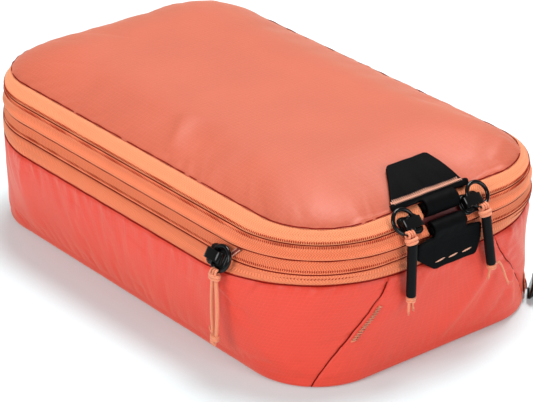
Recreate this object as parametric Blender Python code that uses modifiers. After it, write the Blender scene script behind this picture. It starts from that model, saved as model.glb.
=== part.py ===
"""A soft packing cube for clothes, modelled in metres with +Z up.

The origin is the middle of the bottom panel, on the surface that the cube stands on. +Y runs along the
cube's length and -Y is its front end, where the two main sliders and the black pull tabs are. The walls
flare from the bottom panel up to the compression zip. Above that zip is a collar, which rises when the zip
is opened, and the domed lid is zipped to the collar and hinged to it along the rear end.

Every level of the bag is a rounded rectangle, called a Loop here, and each fabric piece is a band between
loops.
"""

import math
from collections import namedtuple

import bmesh
import bpy
from mathutils import Matrix, Vector

MM = 0.001
GAP = 0.3 * MM

# Rounded rectangles: half width, half length, corner radius, height, and the middle's shift along Y
Loop = namedtuple("Loop", "half_x half_y corner z shift_y")
FLOOR_LOOP = Loop(74.0 * MM, 124.6 * MM, 32.6 * MM, 0.0, 0.2 * MM)
WALL_TOP_LOOP = Loop(87.2 * MM, 130.0 * MM, 66.0 * MM, 50.2 * MM, 0.2 * MM)
COMPRESSION_LOOP = Loop(82.9 * MM, 128.2 * MM, 51.6 * MM, 55.6 * MM, -0.9 * MM)
LIP_LOOP = Loop(80.9 * MM, 129.6 * MM, 52.0 * MM, 64.8 * MM, -0.5 * MM)
MAIN_ZIP_LOOP = Loop(76.4 * MM, 126.8 * MM, 42.0 * MM, 72.2 * MM, 0.3 * MM)
LID_SEAM_LOOP = Loop(69.9 * MM, 122.7 * MM, 32.5 * MM, 76.25 * MM, 1.1 * MM)

# Fabric
FABRIC = 1.0 * MM
TAPE = 0.8 * MM
BOTTOM_ROUNDING = 6.5 * MM
WALL_TOP_GAP = 1.1 * MM
WALL_BULGE = 0.85
LIP_OVERHANG = 1.7 * MM
LID_RISE = 10.0 * MM
LID_SLOPE_WIDTH = 34.0 * MM
DIVIDER_HEIGHT = 28.0 * MM
DIVIDER_INSET = 2.0 * MM
EXPANSION_INSET = 6.2 * MM
GUSSET_BOTTOM = 47.5 * MM
GUSSET_TOP = 62.0 * MM

# The end panels are wide at the floor and narrow at the top, so the seams run diagonally round the corners.
SEAM_ANGLE_TOP = 7.0
SEAM_ANGLE_FLOOR = 60.0
SEAM_CURVE = 1.4
SEAM_GAP = 0.5 * MM
BINDING_WIDTH = 5.0 * MM
BINDING_THICKNESS = 0.8 * MM

# Zips
COIL_RADIUS = 0.55 * MM
COIL_APART = 1.35 * MM
COIL_DEPTH = 1.75 * MM
MOUTH_HALF = 10.4 * MM
LOW_ZIP_HEIGHT = 6.5 * MM
LOW_ZIP_TAPE_WIDTH = 4.6 * MM
LOW_ZIP_HALF_LENGTH = 120.0 * MM
LOW_ZIP_COIL_RADIUS = 0.9 * MM

# How far the slope of each zip leans back from upright, at its meeting line
MAIN_TILT = math.radians(45)
COMPRESSION_TILT = math.radians(31.6)

# Pull tabs and the rolls that their webbing makes round the zip's open mouth
TAB = 1.1 * MM
UPPER_TAB_BASE = 46.0 * MM
UPPER_TAB_TOP = 23.0 * MM
UPPER_TAB_START = 2.0 * MM
UPPER_TAB_END = 23.0 * MM
LOWER_TAB_TOP_WIDTH = 37.0 * MM
LOWER_TAB_FOOT_WIDTH = 24.0 * MM
LOWER_TAB_TOP = 62.8 * MM
LOWER_TAB_SHOULDER = 55.5 * MM
LOWER_TAB_FOOT = 48.0 * MM
LOWER_TAB_Y = -130.6 * MM
ROLL_HALF = 9.6 * MM
UPPER_ROLL = Vector((0.0, -124.2 * MM, 74.4 * MM))
UPPER_ROLL_RADIUS = 2.3 * MM
LOWER_ROLL = Vector((0.0, -130.2 * MM, 65.8 * MM))
LOWER_ROLL_RADIUS = 2.2 * MM

# Sliders, as boxes in the slider's own frame: X along its travel, Y up the slope of the zip, Z away from it
SLIDER_HALF_LENGTH = 5.5 * MM
SLIDER_HALF_WIDTH = 3.6 * MM
SLIDER_PLATE = 1.0 * MM
BAIL_HALF_LENGTH = 3.9 * MM
BAIL_HALF_WIDTH = 0.9 * MM
BAIL_BAR = 0.9 * MM
BAIL_WINDOW = 2.7 * MM
WEB = 0.3 * MM
MAIN_LIFT = 0.3 * MM
COMPRESSION_LIFT = 0.85 * MM
LOW_ZIP_LIFT = 0.3 * MM
RING_RADIUS = 5.5 * MM
RING_WIRE = 0.5 * MM
RING_LEAN = math.radians(8)
TUBE_RADIUS = 2.2 * MM
TUBE_LENGTH = 25.8 * MM
CORD_RADIUS = 0.9 * MM
TAIL_LENGTH = 6.0 * MM
THREAD_RADIUS = 0.4 * MM
HITCH_CLEARANCE = 1.3 * MM
HITCH_SHARE = 1.6
TAIL_SHARE = 1.5
STUB_SHARE = 1.2

LEFT_SLIDER_X = -19.5 * MM
RIGHT_SLIDER_X = 15.8 * MM
RING_OFFSET = 3.9 * MM
TUBE_TOP = 66.0 * MM
TUBE_Y = -134.3 * MM
RIGHT_TUBE_LEAN = math.radians(10)
COMPRESSION_SLIDER_Y = -76.5 * MM
LOW_SLIDER_STATION = 1.52
END_COVER_Y = -87.0 * MM
END_COVER_HALF_WIDTH = 2.2 * MM

# The compression pull is a cord loop: two strands from the hitch on the ring down to one knot.
STRAND_TOP_Z = 48.0 * MM
STRAND_FOOT_Z = 22.0 * MM
STRAND_X = -89.2 * MM
STRAND_APART = 2.4 * MM
KNOT_RADIUS = 2.3 * MM
KNOT_HEIGHT = 6.4 * MM

COLOURS = {
    "coral_nylon": ((238, 118, 100), 0.45, 0.0),
    "orange_tape": ((243, 146, 104), 0.8, 0.0),
    "orange_coil": ((236, 128, 88), 0.5, 0.0),
    "red_binding": ((190, 52, 48), 0.7, 0.0),
    "black_tab": ((29, 29, 31), 0.6, 0.0),
    "black_hardware": ((16, 14, 13), 0.25, 0.3),
    "black_rubber": ((24, 24, 25), 0.7, 0.0),
    "peach_cord": ((250, 160, 125), 0.75, 0.0),
}

# Stations count round a loop from the middle of the front end: the corners are 1-2, 4-5, 7-8 and 10-11.
STATIONS_ROUND = 12
CORNER_STEPS = 7
STRAIGHT_STEPS = 2
ROD_SIDES = 16
RING_STEPS = 24
WIRE_SIDES = 8


def srgb(value):
    share = value / 255
    return share / 12.92 if share < 0.04045 else ((share + 0.055) / 1.055) ** 2.4


def make_materials():
    made = {}
    for name, (colour, roughness, metallic) in COLOURS.items():
        material = bpy.data.materials.new(name)
        material.use_nodes = True
        shader = material.node_tree.nodes["Principled BSDF"]
        shader.inputs["Base Color"].default_value = (*[srgb(c) for c in colour], 1)
        shader.inputs["Roughness"].default_value = roughness
        shader.inputs["Metallic"].default_value = metallic
        made[name] = material
    return made


# --- Loops ---


def inset(loop, by, z=None):
    """The loop moved inwards by a distance, at its own height or another."""
    corner = max(loop.corner - by, 4 * MM)
    height = loop.z if z is None else z
    return Loop(loop.half_x - by, loop.half_y - by, corner, height, loop.shift_y)


def between(first, second, share):
    return Loop(*[a + (b - a) * share for a, b in zip(first, second)])


def around(loop, station):
    """The point of a loop at a station, and the outward direction there."""
    station %= STATIONS_ROUND
    quarter = int(station // 3)
    local = station - 3 * quarter
    flat_x = loop.half_x - loop.corner
    flat_y = loop.half_y - loop.corner
    lead, trail = (flat_x, flat_y) if quarter % 2 == 0 else (flat_y, flat_x)
    if local <= 1:
        place = Vector((lead * local, -(trail + loop.corner), 0))
        out = Vector((0, -1, 0))
    elif local <= 2:
        angle = (local - 1) * math.pi / 2
        out = Vector((math.sin(angle), -math.cos(angle), 0))
        place = Vector((lead, -trail, 0)) + out * loop.corner
    else:
        place = Vector((lead + loop.corner, -trail * (3 - local), 0))
        out = Vector((1, 0, 0))
    turn = Matrix.Rotation(quarter * math.pi / 2, 3, "Z")
    centre = Vector((0, loop.shift_y, loop.z))
    return turn @ place + centre, turn @ out


def corner_stations(start, end):
    return [start + (end - start) * k / CORNER_STEPS for k in range(CORNER_STEPS + 1)]


def ring_stations():
    """Stations all the way round, closed."""
    found = []
    for quarter in range(4):
        first = 3 * quarter
        found += [first + k / STRAIGHT_STEPS for k in range(STRAIGHT_STEPS)]
        found += corner_stations(first + 1, first + 2)
        found += [first + 2 + k / STRAIGHT_STEPS for k in range(1, STRAIGHT_STEPS)]
    return found


def mouth_stations(loop):
    """Stations from one side of the zip's open mouth, round the rear, to the other."""
    start = MOUTH_HALF / (loop.half_x - loop.corner)
    middle = [s for s in ring_stations() if 1 <= s <= STATIONS_ROUND - 1]
    return [start, *middle, STATIONS_ROUND - start]


# --- Objects ---


def add_mesh(name, points, faces, material):
    mesh = bpy.data.meshes.new(name)
    mesh.from_pydata([tuple(p) for p in points], [], faces)
    mesh.materials.append(material)
    thing = bpy.data.objects.new(name, mesh)
    parts.objects.link(thing)
    return thing


def shade(thing, angle=40):
    thing.data.shade_smooth()
    thing.data.set_sharp_from_angle(angle=math.radians(angle))


def add_sheet(name, rows, material, thickness, closed=False, cap=False):
    """A skin through rows of points, from low to high, thickened inwards. cap closes the last row."""
    across = len(rows[0])
    points = [p for row in rows for p in row]
    faces = []
    for r in range(len(rows) - 1):
        for c in range(across if closed else across - 1):
            n = (c + 1) % across
            low, high = r * across, (r + 1) * across
            faces.append((low + c, low + n, high + n, high + c))
    if cap:
        last = (len(rows) - 1) * across
        faces.append(tuple(last + c for c in range(across)))
    thing = add_mesh(name, points, faces, material)
    skin = thing.modifiers.new("thickness", "SOLIDIFY")
    skin.thickness = thickness
    skin.offset = -1
    shade(thing)
    return thing


def add_band(name, loops, material, thickness=TAPE):
    """A closed band of fabric through loops, from low to high."""
    rows = [[around(loop, s)[0] for s in ring_stations()] for loop in loops]
    return add_sheet(name, rows, material, thickness, closed=True)


def add_mouth_band(name, loops, material):
    """A band like a main zip tape, open at the mouth in the middle of the front end."""
    rows = [[around(loop, s)[0] for s in mouth_stations(loop)] for loop in loops]
    return add_sheet(name, rows, material, TAPE)


def add_tube(name, points, radius, material, closed=False):
    curve = bpy.data.curves.new(name, "CURVE")
    curve.dimensions = "3D"
    curve.bevel_depth = radius
    curve.bevel_resolution = 1
    curve.use_fill_caps = True
    spline = curve.splines.new("POLY")
    spline.points.add(len(points) - 1)
    for point, place in zip(spline.points, points):
        point.co = (*place, 1)
    spline.use_cyclic_u = closed
    curve.materials.append(material)
    thing = bpy.data.objects.new(name, curve)
    parts.objects.link(thing)
    return thing


def add_rod(name, start, end, radius, material, end_radius=None):
    """A round rod or cone between two points, its origin at the first."""
    body = bmesh.new()
    length = (end - start).length
    bmesh.ops.create_cone(
        body,
        cap_ends=True,
        segments=ROD_SIDES,
        radius1=radius,
        radius2=radius if end_radius is None else end_radius,
        depth=length,
        matrix=Matrix.Translation((0, 0, length / 2)),
    )
    mesh = bpy.data.meshes.new(name)
    body.to_mesh(mesh)
    body.free()
    mesh.materials.append(material)
    thing = bpy.data.objects.new(name, mesh)
    thing.location = start
    thing.rotation_euler = (end - start).to_track_quat("Z", "Y").to_euler()
    parts.objects.link(thing)
    shade(thing)
    return thing


def add_box(name, low, high, collection, bevel=0.2 * MM):
    """A box between two corners of its own frame, with chamfered edges."""
    body = bmesh.new()
    size = Vector(high) - Vector(low)
    middle = (Vector(high) + Vector(low)) / 2
    place = Matrix.Translation(middle) @ Matrix.Diagonal((*size, 1))
    bmesh.ops.create_cube(body, size=1, matrix=place)
    if bevel:
        bmesh.ops.bevel(body, geom=body.edges[:], offset=bevel, segments=1, affect="EDGES")
    mesh = bpy.data.meshes.new(name)
    body.to_mesh(mesh)
    body.free()
    thing = bpy.data.objects.new(name, mesh)
    collection.objects.link(thing)
    return thing


def add_torus(name, centre, axis, material):
    """A wire ring of the size that every slider has."""
    bpy.ops.mesh.primitive_torus_add(
        location=centre,
        rotation=axis.to_track_quat("Z", "Y").to_euler(),
        major_segments=RING_STEPS,
        minor_segments=WIRE_SIDES,
        major_radius=RING_RADIUS,
        minor_radius=RING_WIRE,
    )
    thing = bpy.context.active_object
    thing.name = name
    for collection in list(thing.users_collection):
        collection.objects.unlink(thing)
    parts.objects.link(thing)
    thing.data.materials.append(material)
    thing.data.shade_smooth()
    return thing


def under(empty_name, place, children):
    """An empty on a joint's axis, with the pieces that turn on it as its children."""
    pivot = bpy.data.objects.new(empty_name, None)
    pivot.location = place
    parts.objects.link(pivot)
    bpy.context.view_layer.update()
    for child in children:
        child.parent = pivot
        child.matrix_parent_inverse = pivot.matrix_world.inverted()
    return pivot


# --- Walls ---


def wall_loop(z):
    """The outside of the walls at a height, above the rounding at the floor."""
    share = (z / WALL_TOP_LOOP.z) ** WALL_BULGE
    return between(FLOOR_LOOP, WALL_TOP_LOOP, share)._replace(z=z)


def wall_loops():
    """The walls from the floor up: the rounded foot and then the flaring sides."""
    foot = wall_loop(BOTTOM_ROUNDING)
    found = []
    for step in range(4):
        angle = step * math.pi / 6
        height = BOTTOM_ROUNDING * (1 - math.cos(angle))
        found.append(inset(foot, BOTTOM_ROUNDING * (1 - math.sin(angle)), height))
    top = WALL_TOP_LOOP.z - WALL_TOP_GAP
    found += [wall_loop(BOTTOM_ROUNDING + (top - BOTTOM_ROUNDING) * k / 3) for k in (1, 2, 3)]
    return found


def seam_station(loop, side):
    """Where the diagonal seam crosses a level, moved off it by half the gap on one side."""
    rise = max(0.0, 1 - loop.z / WALL_TOP_LOOP.z)
    angle = SEAM_ANGLE_TOP + (SEAM_ANGLE_FLOOR - SEAM_ANGLE_TOP) * rise**SEAM_CURVE
    angle += side * math.degrees(SEAM_GAP / 2 / loop.corner)
    return 1 + angle / 90


def end_row(loop, rear):
    """Points of an end panel at one level, from its left seam to its right one seen from outside."""
    edge = seam_station(loop, -1)
    right = corner_stations(1, edge)
    stations = [-s for s in reversed(right)] + [0] + right
    middle = STATIONS_ROUND / 2 if rear else 0
    return [around(loop, middle + s)[0] for s in stations]


def side_row(loop, left):
    """Points of a side panel at one level, from the front seam to the rear one on the +X side."""
    edge = seam_station(loop, 1)
    front = corner_stations(edge, 2)
    middle = [2.5, 3, 3.5]
    rear = [6 - s for s in reversed(front)]
    turn = STATIONS_ROUND / 2 if left else 0
    return [around(loop, turn + s)[0] for s in front + middle + rear]


def make_walls():
    nylon = materials["coral_nylon"]
    loops = wall_loops()
    add_sheet("front_end_panel", [end_row(loop, False) for loop in loops], nylon, FABRIC)
    add_sheet("rear_end_panel", [end_row(loop, True) for loop in loops], nylon, FABRIC)
    add_sheet("right_side_panel", [side_row(loop, False) for loop in loops], nylon, FABRIC)
    add_sheet("left_side_panel", [side_row(loop, True) for loop in loops], nylon, FABRIC)


def make_plate(name, loop, material, thickness):
    """A flat rounded rectangle with its underside at the loop's height."""
    row = [around(loop, s)[0] + Vector((0, 0, thickness)) for s in ring_stations()]
    thing = add_mesh(name, row, [tuple(range(len(row)))], material)
    skin = thing.modifiers.new("thickness", "SOLIDIFY")
    skin.thickness = thickness
    skin.offset = -1
    return thing


def make_floor_and_divider():
    foot = wall_loop(BOTTOM_ROUNDING)
    bottom = inset(foot, BOTTOM_ROUNDING + GAP, 0.0)
    make_plate("bottom_panel", bottom, materials["coral_nylon"], FABRIC)
    divider = inset(wall_loop(DIVIDER_HEIGHT), DIVIDER_INSET)
    make_plate("divider_panel", divider, materials["coral_nylon"], FABRIC)


def make_seam_bindings():
    """Bound seam edges that stand inwards inside the main compartment, one at each corner."""
    low = DIVIDER_HEIGHT + FABRIC + 1.5 * MM
    high = GUSSET_BOTTOM - 2 * MM
    names = ["front_right", "rear_right", "rear_left", "front_left"]
    for k, corner in enumerate(names):
        rows = []
        for step in range(4):
            loop = wall_loop(low + (high - low) * step / 3)
            station = seam_station(loop, 0)
            turned = [station, 6 - station, 6 + station, 12 - station][k]
            point, out = around(loop, turned)
            start = FABRIC + 2 * GAP
            rows.append([point - out * start, point - out * (start + BINDING_WIDTH)])
        add_sheet(f"{corner}_seam_binding", rows, materials["red_binding"], BINDING_THICKNESS)


# --- Zips ---


def zip_frame(point, along, normal):
    """A frame on a zip: X along its travel, Y up its slope, Z away from the bag."""
    up = normal.cross(along)
    return Matrix.Translation(point) @ Matrix([along, up, normal]).transposed().to_4x4()


def coil_point(low, high, station, side):
    """A point of one half of a coil, behind the band between two loops.

    side is 1 where the zip's meeting line is the band's low edge, and -1 where it is the high one.
    """
    foot, out = around(low, station)
    top, _ = around(high, station)
    along = Vector((0, 0, 1)).cross(out)
    up = (top - foot - along * (top - foot).dot(along)).normalized()
    normal = along.cross(up)
    edge = foot if side > 0 else top
    return edge + up * side * COIL_APART - normal * COIL_DEPTH


def make_compression_zip():
    tape, coil = materials["orange_tape"], materials["orange_coil"]
    line = COMPRESSION_LOOP
    below = between(line, WALL_TOP_LOOP, 0.08)
    hidden = inset(LIP_LOOP, LIP_OVERHANG, LIP_LOOP.z - 1.4 * MM)
    above = between(line, hidden, 0.06)
    add_band("compression_zip_lower_tape", [WALL_TOP_LOOP, below], tape)
    add_band("compression_zip_upper_tape", [above, hidden], tape)
    halves = {
        "compression_zip_lower_coil": (WALL_TOP_LOOP, line, -1),
        "compression_zip_upper_coil": (line, hidden, 1),
    }
    for name, (low, high, side) in halves.items():
        path = [coil_point(low, high, s, side) for s in ring_stations()]
        add_tube(name, path, COIL_RADIUS, coil, closed=True)


def make_end_cover():
    """The short strip that covers the end of the compression zip, sewn over both tapes."""
    line = COMPRESSION_LOOP
    proud = TAPE + 2 * GAP
    low = inset(between(line, WALL_TOP_LOOP, 0.85), -proud)
    middle = inset(line, -proud)
    high = inset(LIP_LOOP, LIP_OVERHANG - proud, LIP_LOOP.z - 2.2 * MM)
    rows = []
    for loop in (low, middle, high):
        ends = []
        for y in (END_COVER_Y + END_COVER_HALF_WIDTH, END_COVER_Y - END_COVER_HALF_WIDTH):
            into = -(y - loop.shift_y) - (loop.half_y - loop.corner)
            angle = math.asin(max(0.0, into) / loop.corner)
            ends.append(around(loop, 10 + angle / (math.pi / 2))[0])
        rows.append(ends)
    add_sheet("compression_zip_end_cover", rows, materials["red_binding"], TAPE)


def make_gusset():
    """The fabric that the compression zip folds away, which stretches up as the collar rises."""
    loop = inset(COMPRESSION_LOOP, EXPANSION_INSET)
    levels = [loop._replace(z=GUSSET_BOTTOM), loop._replace(z=GUSSET_TOP)]
    add_band("expansion_gusset", levels, materials["coral_nylon"])


def make_main_zip():
    tape, coil = materials["orange_tape"], materials["orange_coil"]
    line = MAIN_ZIP_LOOP
    fold = inset(LIP_LOOP, 1.5 * MM, LIP_LOOP.z - 0.8 * MM)
    collar_edge = between(line, LIP_LOOP, 0.06)
    lid_edge = between(line, LID_SEAM_LOOP, 0.07)
    add_mouth_band("main_zip_lower_tape", [fold, LIP_LOOP, collar_edge], tape)
    add_mouth_band("main_zip_upper_tape", [lid_edge, LID_SEAM_LOOP], tape)
    halves = {
        "main_zip_lower_coil": (LIP_LOOP, line, -1),
        "main_zip_upper_coil": (line, LID_SEAM_LOOP, 1),
    }
    for name, (low, high, side) in halves.items():
        path = [coil_point(low, high, s, side) for s in mouth_stations(line)]
        add_tube(name, path, COIL_RADIUS, coil)


def make_hinge_strip():
    """The fabric strip on the rear end that the lid turns on."""
    low = inset(between(LIP_LOOP, MAIN_ZIP_LOOP, 0.1), -(TAPE + GAP))
    high = inset(between(LIP_LOOP, MAIN_ZIP_LOOP, 0.62), -(TAPE + GAP))
    rows = [[around(loop, s)[0] for s in (5.1, 5.5, 6, 6.5, 6.9)] for loop in (low, high)]
    add_sheet("lid_hinge_strip", rows, materials["coral_nylon"], TAPE)


def make_low_zip():
    """A flat zip along the foot of the right side, which opens the low compartment."""
    tape = materials["orange_tape"]
    half = LOW_ZIP_COIL_RADIUS / 2
    spans = {
        "low_zip_lower_tape": (LOW_ZIP_HEIGHT - half - LOW_ZIP_TAPE_WIDTH, LOW_ZIP_HEIGHT - half),
        "low_zip_upper_tape": (LOW_ZIP_HEIGHT + half, LOW_ZIP_HEIGHT + half + LOW_ZIP_TAPE_WIDTH),
    }
    for name, heights in spans.items():
        rows = [low_zip_row(z, TAPE + 2 * GAP) for z in heights]
        add_sheet(name, rows, tape, TAPE)
    path = low_zip_row(LOW_ZIP_HEIGHT, TAPE + 3 * GAP + LOW_ZIP_COIL_RADIUS)
    add_tube("low_zip_coil", path, LOW_ZIP_COIL_RADIUS, materials["orange_coil"])


def low_zip_row(z, proud):
    """Points along the low zip at a height, a distance proud of the wall."""
    loop = inset(wall_loop(z), -proud)
    into = LOW_ZIP_HALF_LENGTH - (loop.half_y - loop.corner)
    arc = into / loop.corner / (math.pi / 2)
    corner = [arc * k / 4 for k in range(5)]
    stations = [2 - a for a in reversed(corner)] + [2.5, 3, 3.5] + [4 + a for a in corner]
    return [around(loop, s)[0] for s in stations]


# --- Lid ---


def lid_rise(distance):
    """How far the lid has risen at a distance in from its seam: a quarter of an ellipse, then flat."""
    share = min(1.0, distance / LID_SLOPE_WIDTH)
    return LID_RISE * math.sqrt(1 - (1 - share) ** 2)


def make_lid():
    distances = [GAP * 1.5, 2 * MM, 5 * MM, 9.5 * MM, 16 * MM, 24 * MM, LID_SLOPE_WIDTH]
    rows = []
    for distance in distances:
        loop = inset(LID_SEAM_LOOP, distance, LID_SEAM_LOOP.z + GAP + lid_rise(distance))
        rows.append([around(loop, s)[0] for s in ring_stations()])
    add_sheet("lid_panel", rows, materials["coral_nylon"], FABRIC, closed=True, cap=True)


def make_upper_tab():
    """A trapezium of coated fabric that lies on the front of the lid."""
    front = LID_SEAM_LOOP.shift_y - LID_SEAM_LOOP.half_y
    rows = []
    for step in range(6):
        share = step / 5
        distance = UPPER_TAB_START + (UPPER_TAB_END - UPPER_TAB_START) * share
        width = UPPER_TAB_BASE + (UPPER_TAB_TOP - UPPER_TAB_BASE) * share
        height = LID_SEAM_LOOP.z + lid_rise(distance) + TAB + 3 * GAP
        y = front + distance - TAB
        rows.append([Vector((width * k / 2, y, height)) for k in (-1, -0.5, 0, 0.5, 1)])
    add_sheet("upper_tab", rows, materials["black_tab"], TAB)


def make_rolls():
    for name, centre, radius in (
        ("upper_tab_roll", UPPER_ROLL, UPPER_ROLL_RADIUS),
        ("lower_tab_roll", LOWER_ROLL, LOWER_ROLL_RADIUS),
    ):
        reach = Vector((ROLL_HALF, 0, 0))
        add_rod(name, centre - reach, centre + reach, radius, materials["black_tab"])


def make_lower_tab():
    """The matching tab below, which hangs from its roll in front of the compression zip."""
    top, foot = LOWER_TAB_TOP_WIDTH / 2, LOWER_TAB_FOOT_WIDTH / 2
    levels = [(LOWER_TAB_FOOT, foot), (LOWER_TAB_SHOULDER, top), (LOWER_TAB_TOP, top)]
    rows = [[Vector((half * k, LOWER_TAB_Y - TAB, z)) for k in (-1, 0, 1)] for z, half in levels]
    add_sheet("lower_tab", rows, materials["black_tab"], TAB)


# --- Sliders and pulls ---


def add_slider(name, frame, lift, inner_plate):
    """A slider as one casting: outer plate, bail and, where the zip is open behind, web and inner plate."""
    deck = lift + SLIDER_PLATE
    bar = deck + BAIL_WINDOW
    overlap = 0.2 * MM
    body = add_box(
        name,
        (-SLIDER_HALF_LENGTH, -SLIDER_HALF_WIDTH, lift),
        (SLIDER_HALF_LENGTH, SLIDER_HALF_WIDTH, deck),
        parts,
    )
    bail_end = (BAIL_HALF_LENGTH, BAIL_HALF_WIDTH, bar + BAIL_BAR)
    pieces = [((-BAIL_HALF_LENGTH, -BAIL_HALF_WIDTH, bar), bail_end)]
    for side in (-1, 1):
        edges = sorted((side * BAIL_HALF_LENGTH, side * (BAIL_HALF_LENGTH - BAIL_BAR)))
        low = (edges[0], -BAIL_HALF_WIDTH, deck - overlap)
        pieces.append((low, (edges[1], BAIL_HALF_WIDTH, bar + BAIL_BAR)))
    if inner_plate:
        back = -(COIL_DEPTH + COIL_RADIUS + 2 * GAP)
        web_half = SLIDER_HALF_LENGTH / 2
        pieces.append(((-web_half, -WEB / 2, back - overlap), (web_half, WEB / 2, lift + overlap)))
        inner_half = SLIDER_HALF_LENGTH - MM
        low = (-inner_half, -WEB / 2, back - SLIDER_PLATE)
        pieces.append((low, (inner_half, SLIDER_HALF_WIDTH, back)))
    for k, (low, high) in enumerate(pieces):
        cutter = add_box(f"{name}_piece_{k}", low, high, cutters, bevel=0)
        cutter.hide_render = True
        cutter.display_type = "WIRE"
        cutter.matrix_world = frame
        join = body.modifiers.new(f"join_{k}", "BOOLEAN")
        join.operation = "UNION"
        join.object = cutter
    body.data.materials.append(materials["black_hardware"])
    body.matrix_world = frame
    return body


def ring_place(frame, lift, offset, lean=RING_LEAN):
    """A ring's link, centre and axis. The link is where its wire passes under the bail."""
    rotation = frame.to_3x3()
    along, normal = rotation.col[0], rotation.col[2]
    axis = (Matrix.Rotation(lean, 3, along) @ normal).normalized()
    centre = frame @ Vector((offset, 0, lift + SLIDER_PLATE + BAIL_WINDOW / 2))
    link = centre - along * math.copysign(RING_RADIUS, offset)
    return link, centre, axis


def add_hitch(name, top, foot):
    """The cord's hitch on a ring, a cone that widens downwards to the doubled cord."""
    return add_rod(name, top, foot, CORD_RADIUS, materials["peach_cord"], CORD_RADIUS * HITCH_SHARE)


def ring_foot(centre, axis, along):
    """The lowest point of a ring's wire."""
    down = axis.cross(along).normalized()
    if down.z > 0:
        down = -down
    return centre + down * RING_RADIUS


def make_main_pull(side, slider_x, lean):
    """A main slider with its ring, cord hitch, rubber tube and cord tail."""
    middle = MAIN_ZIP_LOOP.shift_y - MAIN_ZIP_LOOP.half_y
    normal = Vector((0, -math.cos(MAIN_TILT), math.sin(MAIN_TILT)))
    along = Vector((1, 0, 0))
    frame = zip_frame(Vector((slider_x, middle, MAIN_ZIP_LOOP.z)), along, normal)
    add_slider(f"{side}_main_slider", frame, MAIN_LIFT, True)
    offset = math.copysign(RING_OFFSET, slider_x)
    link, centre, axis = ring_place(frame, MAIN_LIFT, offset)
    ring = add_torus(f"{side}_pull_ring", centre, axis, materials["black_hardware"])
    foot = ring_foot(centre, axis, along)
    tube_top = Vector((centre.x, TUBE_Y, TUBE_TOP))
    down = Vector((math.sin(lean), 0, -math.cos(lean)))
    tube_foot = tube_top + down * TUBE_LENGTH
    hitch_foot = tube_top + Vector((0, 0, HITCH_CLEARANCE))
    hitch_top = foot + (hitch_foot - foot).normalized() * (RING_WIRE + GAP)
    hitch = add_hitch(f"{side}_pull_hitch", hitch_top, hitch_foot)
    tube = add_rod(f"{side}_pull_tube", tube_top, tube_foot, TUBE_RADIUS, materials["black_rubber"])
    tail_top = tube_foot + down * GAP
    tail_foot = tube_foot + down * TAIL_LENGTH
    tail_radius = CORD_RADIUS * TAIL_SHARE
    tail = add_rod(f"{side}_pull_tail", tail_top, tail_foot, tail_radius, materials["peach_cord"])
    pieces = [hitch, tube, tail]
    if side == "right":
        pieces.append(make_thread(tail_top))
    pull = under(f"{side}_pull_pivot", foot, pieces)
    under(f"{side}_pull_ring_pivot", link, [ring, pull])


def make_thread(tail_top):
    """A loose end of the cord's core, which comes out beside the tail and hangs to one side."""
    start = tail_top + Vector((2.2 * MM, 0, -0.4 * MM))
    route = [(0, 0), (1.6, 0.2), (3.3, -2.2), (5.0, -5.8), (6.4, -9.4), (8.0, -12.6)]
    points = [start + Vector((x * MM, 0, z * MM)) for x, z in route]
    return add_tube("right_pull_thread", points, THREAD_RADIUS, materials["peach_cord"])


def make_compression_pull():
    """The compression slider on the left side and its cord loop."""
    line = COMPRESSION_LOOP
    point = Vector((-line.half_x, COMPRESSION_SLIDER_Y, line.z))
    normal = Vector((-math.cos(COMPRESSION_TILT), 0, math.sin(COMPRESSION_TILT)))
    along = Vector((0, -1, 0))
    frame = zip_frame(point, along, normal)
    add_slider("compression_slider", frame, COMPRESSION_LIFT, True)
    link, centre, axis = ring_place(frame, COMPRESSION_LIFT, RING_OFFSET)
    cord = materials["peach_cord"]
    ring = add_torus("compression_pull_ring", centre, axis, materials["black_hardware"])
    foot = ring_foot(centre, axis, along)
    hitch_foot = Vector((STRAND_X, centre.y, STRAND_TOP_Z + HITCH_CLEARANCE))
    hitch_top = foot + (hitch_foot - foot).normalized() * (RING_WIRE + GAP)
    pieces = [add_hitch("compression_pull_hitch", hitch_top, hitch_foot)]
    for name, side in (("front", -1), ("rear", 1)):
        pieces.append(make_strand(f"compression_pull_{name}_strand", centre.y, side))
    knot_top = Vector((STRAND_X, centre.y, STRAND_FOOT_Z - GAP))
    knot_foot = knot_top - Vector((0, 0, KNOT_HEIGHT))
    stub_radius = CORD_RADIUS * STUB_SHARE
    pieces.append(add_rod("compression_pull_knot", knot_top, knot_foot, KNOT_RADIUS, cord, stub_radius))
    pull = under("compression_pull_pivot", foot, pieces)
    under("compression_pull_ring_pivot", link, [ring, pull])


def make_strand(name, middle_y, side):
    """One strand of the loop, a little bowed away from the other."""
    bow = [0.0, 0.35, 0.6, 0.7, 0.6, 0.3, 0.0]
    points = []
    for k, out in enumerate(bow):
        share = k / (len(bow) - 1)
        y = middle_y + side * (STRAND_APART / 2 + out * MM)
        z = STRAND_TOP_Z + (STRAND_FOOT_Z - STRAND_TOP_Z) * share
        points.append(Vector((STRAND_X, y, z)))
    return add_tube(name, points, CORD_RADIUS, materials["peach_cord"])


def make_low_slider():
    """The slider of the low zip, at its end in the front corner, with a plain ring that trails behind it."""
    proud = TAPE + 3 * GAP + 2 * LOW_ZIP_COIL_RADIUS
    level = wall_loop(LOW_ZIP_HEIGHT)
    flare = wall_loop(LOW_ZIP_HEIGHT + MM).half_x - level.half_x
    point, out = around(inset(level, -proud), LOW_SLIDER_STATION)
    normal = (out * MM - Vector((0, 0, flare))).normalized()
    frame = zip_frame(point, Vector((0, 0, 1)).cross(out), normal)
    add_slider("low_zip_slider", frame, LOW_ZIP_LIFT, False)
    link, centre, axis = ring_place(frame, LOW_ZIP_LIFT, RING_OFFSET, lean=0.0)
    ring = add_torus("low_zip_pull_ring", centre, axis, materials["black_hardware"])
    under("low_zip_pull_ring_pivot", link, [ring])


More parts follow.
